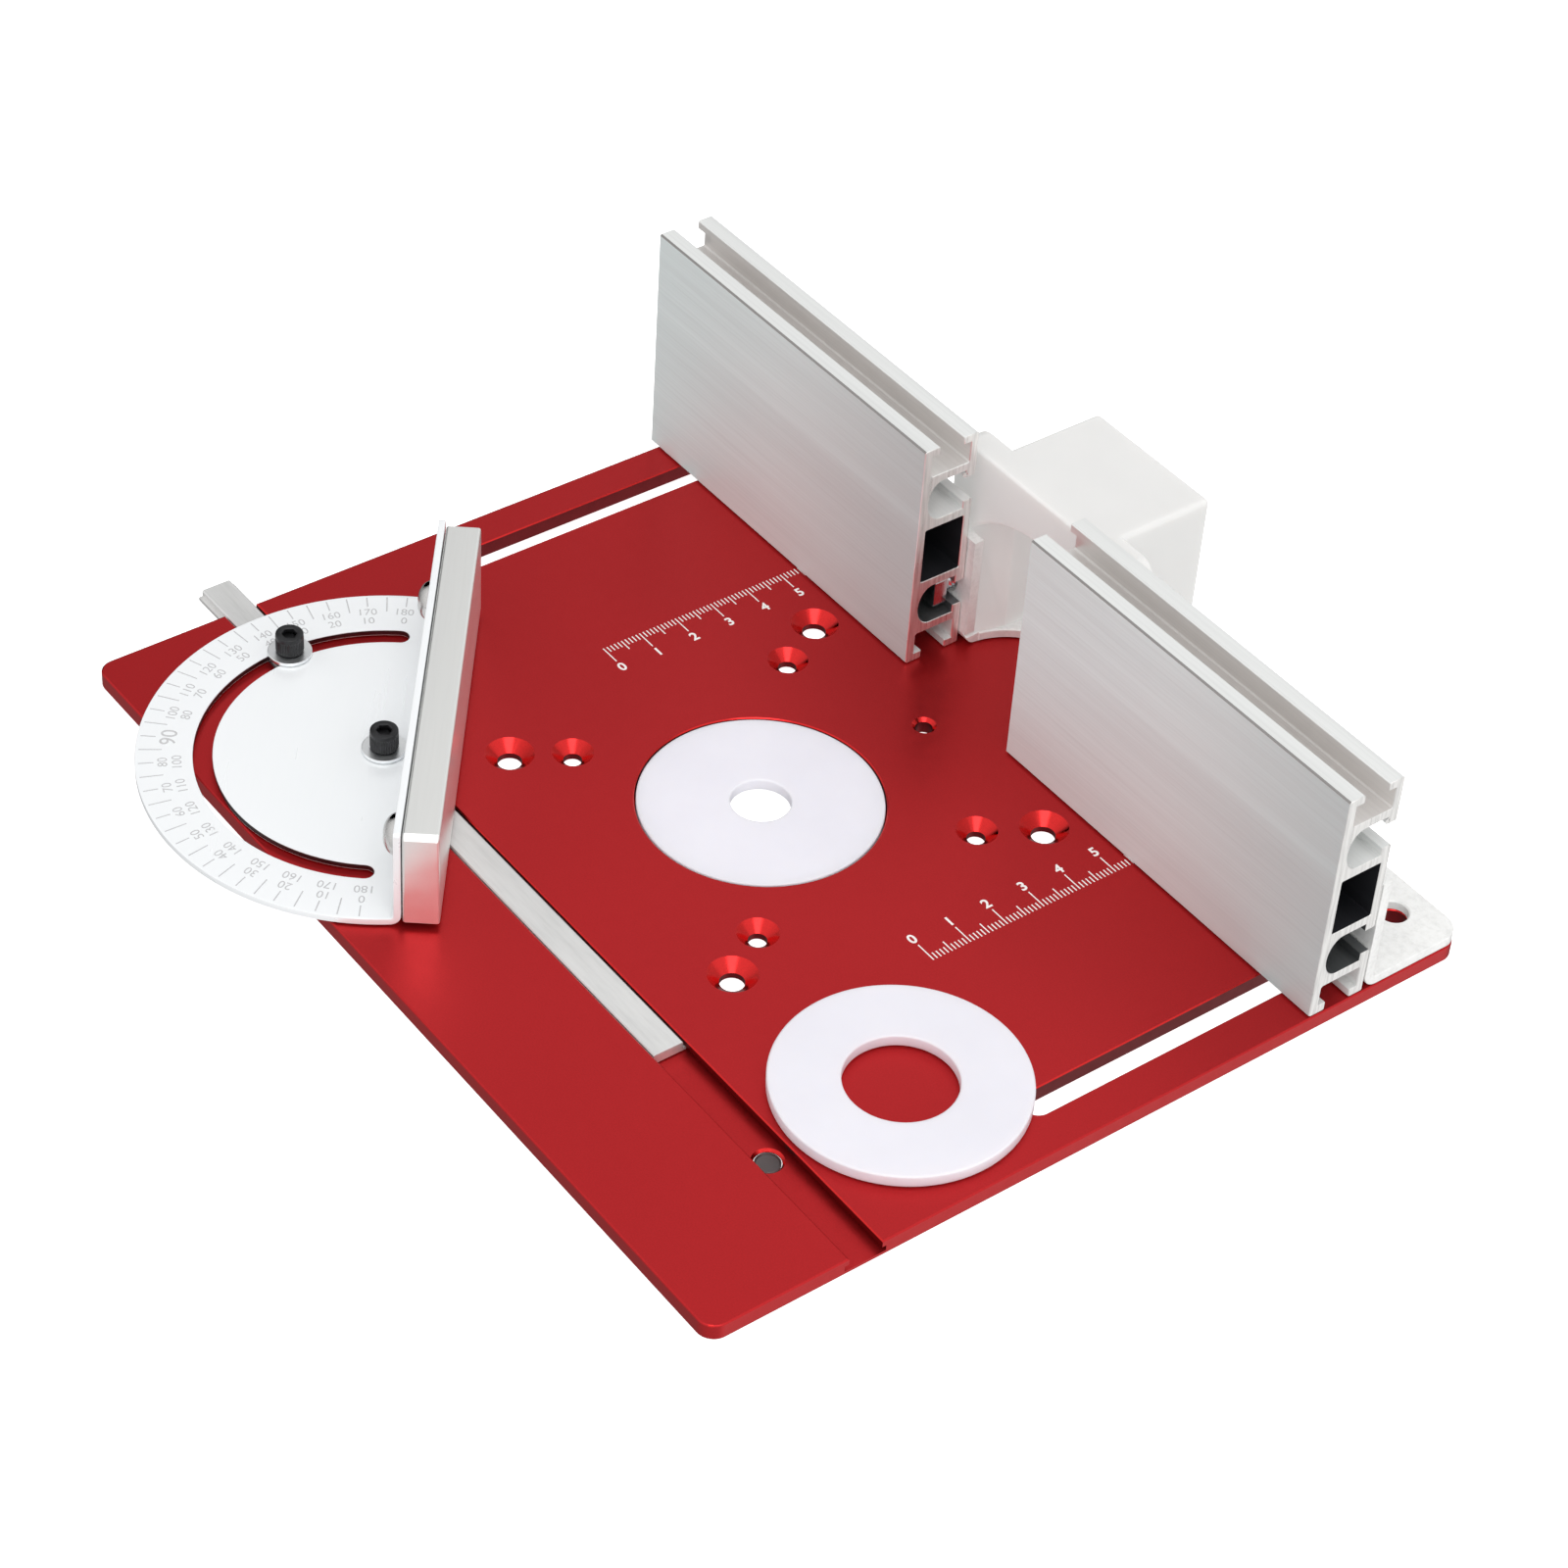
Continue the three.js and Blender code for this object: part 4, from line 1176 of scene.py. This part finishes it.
def degree_scale():
    """Degree marks on the protractor: two rows of numbers that run opposite ways, and one big 90."""
    top = span("protractor_plate")[0].z + SHEET_METAL.thickness
    sunk = 0.005  # the strokes lie this much lower than the numbers
    marks = []

    def set_out(mesh, radius, angle):
        turn = Matrix.Rotation(radians(angle - 90), 3, "Z")
        bmesh.ops.rotate(mesh, matrix=turn, verts=mesh.verts)
        where = radians(angle)
        moved(mesh, radius * cos(where), radius * sin(where), top + MARK_MIDDLE)
        marks.append(mesh)

    for reading in range(0, 181, 5):
        angle = 270 - reading
        tens = reading % 10 == 0
        inner = SCALE.short if tens else SCALE.long
        middle, half = (SCALE.rim + inner) / 2, (SCALE.rim - inner) / 2
        thin = SCALE.tick / 2
        loop = [(-thin, -half), (thin, -half), (thin, half), (-thin, half)]
        stroke = prism(loop, MARK_LOW - sunk, MARK_HIGH - sunk, edge=MARK_EDGE)
        set_out(stroke, middle, angle)
        if reading == 90:
            set_out(digits("90", SCALE.big), SCALE.middle, angle)
        elif tens:
            set_out(digits(str(reading), SCALE.digit), SCALE.outer, angle)
            set_out(digits(str(180 - reading), SCALE.digit), SCALE.inner, angle)
    return piece(
        "degree_marks", gathered(marks), GREY_INK, "miter_head", place=HEAD_PLACE,
        merge=1e-5,
    )


def miter_face():
    """The gauge's fence bar: eased long edges, and a wider chamfer at each end."""
    low, high = span("miter_fence_bar")
    f, s = FACE, SHEET_METAL
    x0 = s.flange_x + s.thickness + f.gap
    x1 = x0 + f.thickness
    y0, y1 = f.shift - f.half, f.shift + f.half
    c = f.end_chamfer
    foot = f.foot_chamfer
    side = [
        (y0 + foot, low.z), (y1 - foot, low.z), (y1, low.z + foot),
        (y1, high.z - c), (y1 - c, high.z), (y0 + c, high.z),
        (y0, high.z - c), (y0, low.z + foot),
    ]
    body = prism(side, x0, x1, edge=f.edge, steps=3, turn=ALONG_X)
    screw_z = centre("face_screw_near").z
    levels = [(0.4, x0 - PAST), (0, x0 + 0.3), (0, x0 + FACE_SCREW.depth)]
    cutters = []
    for way in (-1, 1):
        hole = stack(circle(0, 0, FACE_SCREW.hole, 32), levels, ALONG_X)
        cutters.append(moved(hole, 0, f.shift + way * FACE_SCREW.y, screw_z))
    return piece(
        "gauge_face", cut(body, cutters), SATIN, "miter_head", ["miter_fence_bar"],
        HEAD_PLACE,
    )


def knurl(radius):
    teeth, groove = 36, 0.14
    points = []
    for i in range(teeth * 2):
        reach = radius if i % 2 else radius - groove
        angle = tau * i / (teeth * 2)
        points.append((reach * cos(angle), reach * sin(angle)))
    return points


def cap_screw(name, node, body):
    """A socket-head screw: knurled side, eased rim, hexagon socket, and a threaded shank."""
    low, high = span(node)
    c = CAP_SCREW
    radius, top = c.radius, high.z
    seat, crown = top - c.head, top - c.crown
    socket = hexagon(c.socket)
    side = prism(knurl(radius), seat + 0.25, crown, edge=0.1)
    side = cut(side, [stack(socket, [(0, top - 1.6), (0, crown + PAST)])])
    collar = lathe([
        (0, seat), (radius - 0.25, seat), (radius - 0.1, seat + 0.15),
        (radius - 0.1, seat + 0.3), (0, seat + 0.3),
    ])
    cap = prism(
        circle(0, 0, radius - 0.05, 64), crown - 0.6, top, pockets=[(socket, c.socket_depth)],
        edge=0.35, steps=3,
    )
    rod = moved(threaded_rod(c.shank, seat - low.z, 0.7, 0.3), 0, 0, low.z)
    whole = gathered([side, collar, cap, rod])
    return piece(name, whole, BLACK, body, [node], at(*centre(node).xy))


def cap_washer(name, node, body):
    low, high = span(node)
    mesh = moved(washer((high.x - low.x) / 2, CAP_SCREW.bore, high.z - low.z), 0, 0, low.z)
    return piece(name, mesh, TURNED_ZINC, body, [node], at(*centre(node).xy))


def face_screw(name, node, way):
    """A dome-headed screw with a hexagon socket, its head against the flange's inner face."""
    f = FACE_SCREW
    radius, height = f.radius, f.head
    rim_top = 0.55
    dome = [(r, max(h, rim_top)) for r, h in arc(0, 0, radius - 0.15, 8, 88, 12, height)]
    head = lathe([(0, 0), (radius - 0.3, 0), (radius, 0.2), (radius, 0.5), *dome, (0, height)], 64)
    levels = [(0, height - 1.6), (0, height - 0.35), (PAST + 0.3, height + PAST)]
    head = cut(head, [stack(hexagon(f.socket), levels)])
    reach = f.depth + SHEET_METAL.thickness + 2 * FACE.gap - 1
    rod = threaded_rod(f.shank, reach, 0.8, 0.35)
    bmesh.ops.scale(rod, vec=(1, 1, -1), verts=rod.verts)
    whole = gathered([head, closed(rod)])
    x, y = SHEET_METAL.flange_x - FACE.gap, FACE.shift + way * f.y
    inwards = Matrix.Rotation(-pi / 2, 4, "Y")  # +Z becomes -X, away from the flange
    place = HEAD_PLACE @ Matrix.Translation(Vector((x, y, centre(node).z)) * MM) @ inwards
    return piece(name, whole, DOME_ZINC, "miter_head", [node], place)


# ---- the table

base_plate()
stop_plug()
bit_ring("seated_ring", "insert_ring", "insert", 6.7)
bit_ring("loose_ring", "spare_ring", "spare", 12.1)
for facts in RULERS:
    ruler(facts)
fence_profile("left_extrusion", "left_fence_profile", "left_fence")
fence_profile("right_extrusion", "right_fence_profile", "right_fence")
fence_bracket()
dust_hood()
for side in ("left", "right"):
    for where in ("outer", "inner"):
        fasteners(side, where)
miter_bar()
protractor()
degree_scale()
miter_face()
cap_screw("pivot_cap_screw", "pivot_screw", "pivot_fastener")
cap_screw("lock_cap_screw", "angle_lock_screw", "lock_fastener")
cap_washer("pivot_flat_washer", "pivot_washer", "pivot_fastener")
cap_washer("lock_flat_washer", "angle_lock_washer", "lock_fastener")
face_screw("near_dome_screw", "face_screw_near", -1)
face_screw("far_dome_screw", "face_screw_far", 1)


# ---- stage, light, camera


def floor():
    """A white sweep that only the camera sees; the studio's light is all in the world and the lamps."""
    f = Finish("floor", (0.9, 0.9, 0.9), 0, 0.7)
    f.set("Emission Color", (1, 1, 1, 1))
    f.set("Emission Strength", 0.95)
    data = bpy.data.meshes.new("floor")
    size, clearance = 4.0, 0.0004
    height = cad_low.z - clearance
    corners = [(-size, -size, height), (size, -size, height), (size, size, height), (-size, size, height)]
    data.from_pydata(corners, [], [(0, 1, 2, 3)])
    data.materials.append(f.material)
    made = in_scene("floor", data)
    for seen_by in ("diffuse", "glossy", "transmission", "shadow"):
        setattr(made, f"visible_{seen_by}", False)


STUDIO = Sizes(
    bright=(0.48, -0.34, 0.81),
    levels=((0.0, 0.2), (0.2, 0.3), (0.46, 0.72), (0.8, 1.0), (1.0, 1.0)),
    sweep=(0.66, 0.45, -0.60), sweep_from=0.84, sweep_level=0.62,
    flag=(-0.93, 0.20, 0.31), flag_from=0.87, flag_level=-0.9,
)


def studio_world():
    """A white studio, brightest overhead and to the right. A lit sweep lies low behind on the right, and
    a dark flag stands on the left. It dims towards the floor on the left."""
    world = bpy.data.worlds.new("studio")
    world.use_nodes = True
    tree = world.node_tree
    background = tree.nodes["Background"]
    gaze = add_node(tree, "TexCoord", {}).outputs["Generated"]

    def toward(direction, start, level):
        """Nothing where the gaze is away from the direction, and the level where it is along it."""
        dot = add_node(tree, "VectorMath", {0: gaze, 1: direction}, operation="DOT_PRODUCT")
        inputs = {"Value": dot.outputs["Value"], "From Min": start, "From Max": 1, "To Max": level}
        return add_node(tree, "MapRange", inputs).outputs["Result"]

    def plus(a, b):
        return add_node(tree, "Math", {0: a, 1: b}, operation="ADD").outputs["Value"]

    stops = [(position, (level, level, level)) for position, level in STUDIO.levels]
    dome = add_ramp(tree, toward(STUDIO.bright, -1, 1), stops)
    sweep = toward(STUDIO.sweep, STUDIO.sweep_from, STUDIO.sweep_level)
    flag = toward(STUDIO.flag, STUDIO.flag_from, STUDIO.flag_level)
    background.inputs["Color"].default_value = (1, 1, 1, 1)
    tree.links.new(plus(plus(dome, sweep), flag), background.inputs["Strength"])
    bpy.context.scene.world = world


def softbox(name, place, target, size, power):
    light = bpy.data.lights.new(name, "AREA")
    light.shape = "RECTANGLE"
    light.size, light.size_y = size
    light.energy = power
    made = in_scene(name, light)
    made.location = place
    made.rotation_euler = (Vector(target) - Vector(place)).to_track_quat("-Z", "Y").to_euler()


CAMERA = Sizes(place=(516.71, -417.22, 585.48), turns=(50.669, 41.149, 4.223), lens=93.23, sensor=36)


def camera():
    """The view from the front right, above the table. Its turns are azimuth, elevation and roll."""
    azimuth, elevation, roll = (radians(angle) for angle in CAMERA.turns)
    back = Vector((sin(azimuth) * cos(elevation), -cos(azimuth) * cos(elevation), sin(elevation)))
    level = Vector((cos(azimuth), sin(azimuth), 0))
    up = back.cross(level)
    right = level * cos(roll) + up * sin(roll)
    up = back.cross(right)
    data = bpy.data.cameras.new("camera")
    data.sensor_width = CAMERA.sensor
    data.lens = CAMERA.lens
    data.clip_start = 0.05
    data.clip_end = 20
    made = in_scene("camera", data)
    made.matrix_world = at(*CAMERA.place) @ Matrix((right, up, back)).transposed().to_4x4()
    bpy.context.scene.camera = made


floor()
studio_world()
softbox("key", (0.5, -0.3, 1.1), (0, 0, 0), (0.7, 0.7), 3)
softbox("right", (1.1, 0.0, 0.5), (0, 0, 0.02), (0.8, 0.5), 0.6)
camera()
bpy.context.scene.view_settings.view_transform = "Standard"
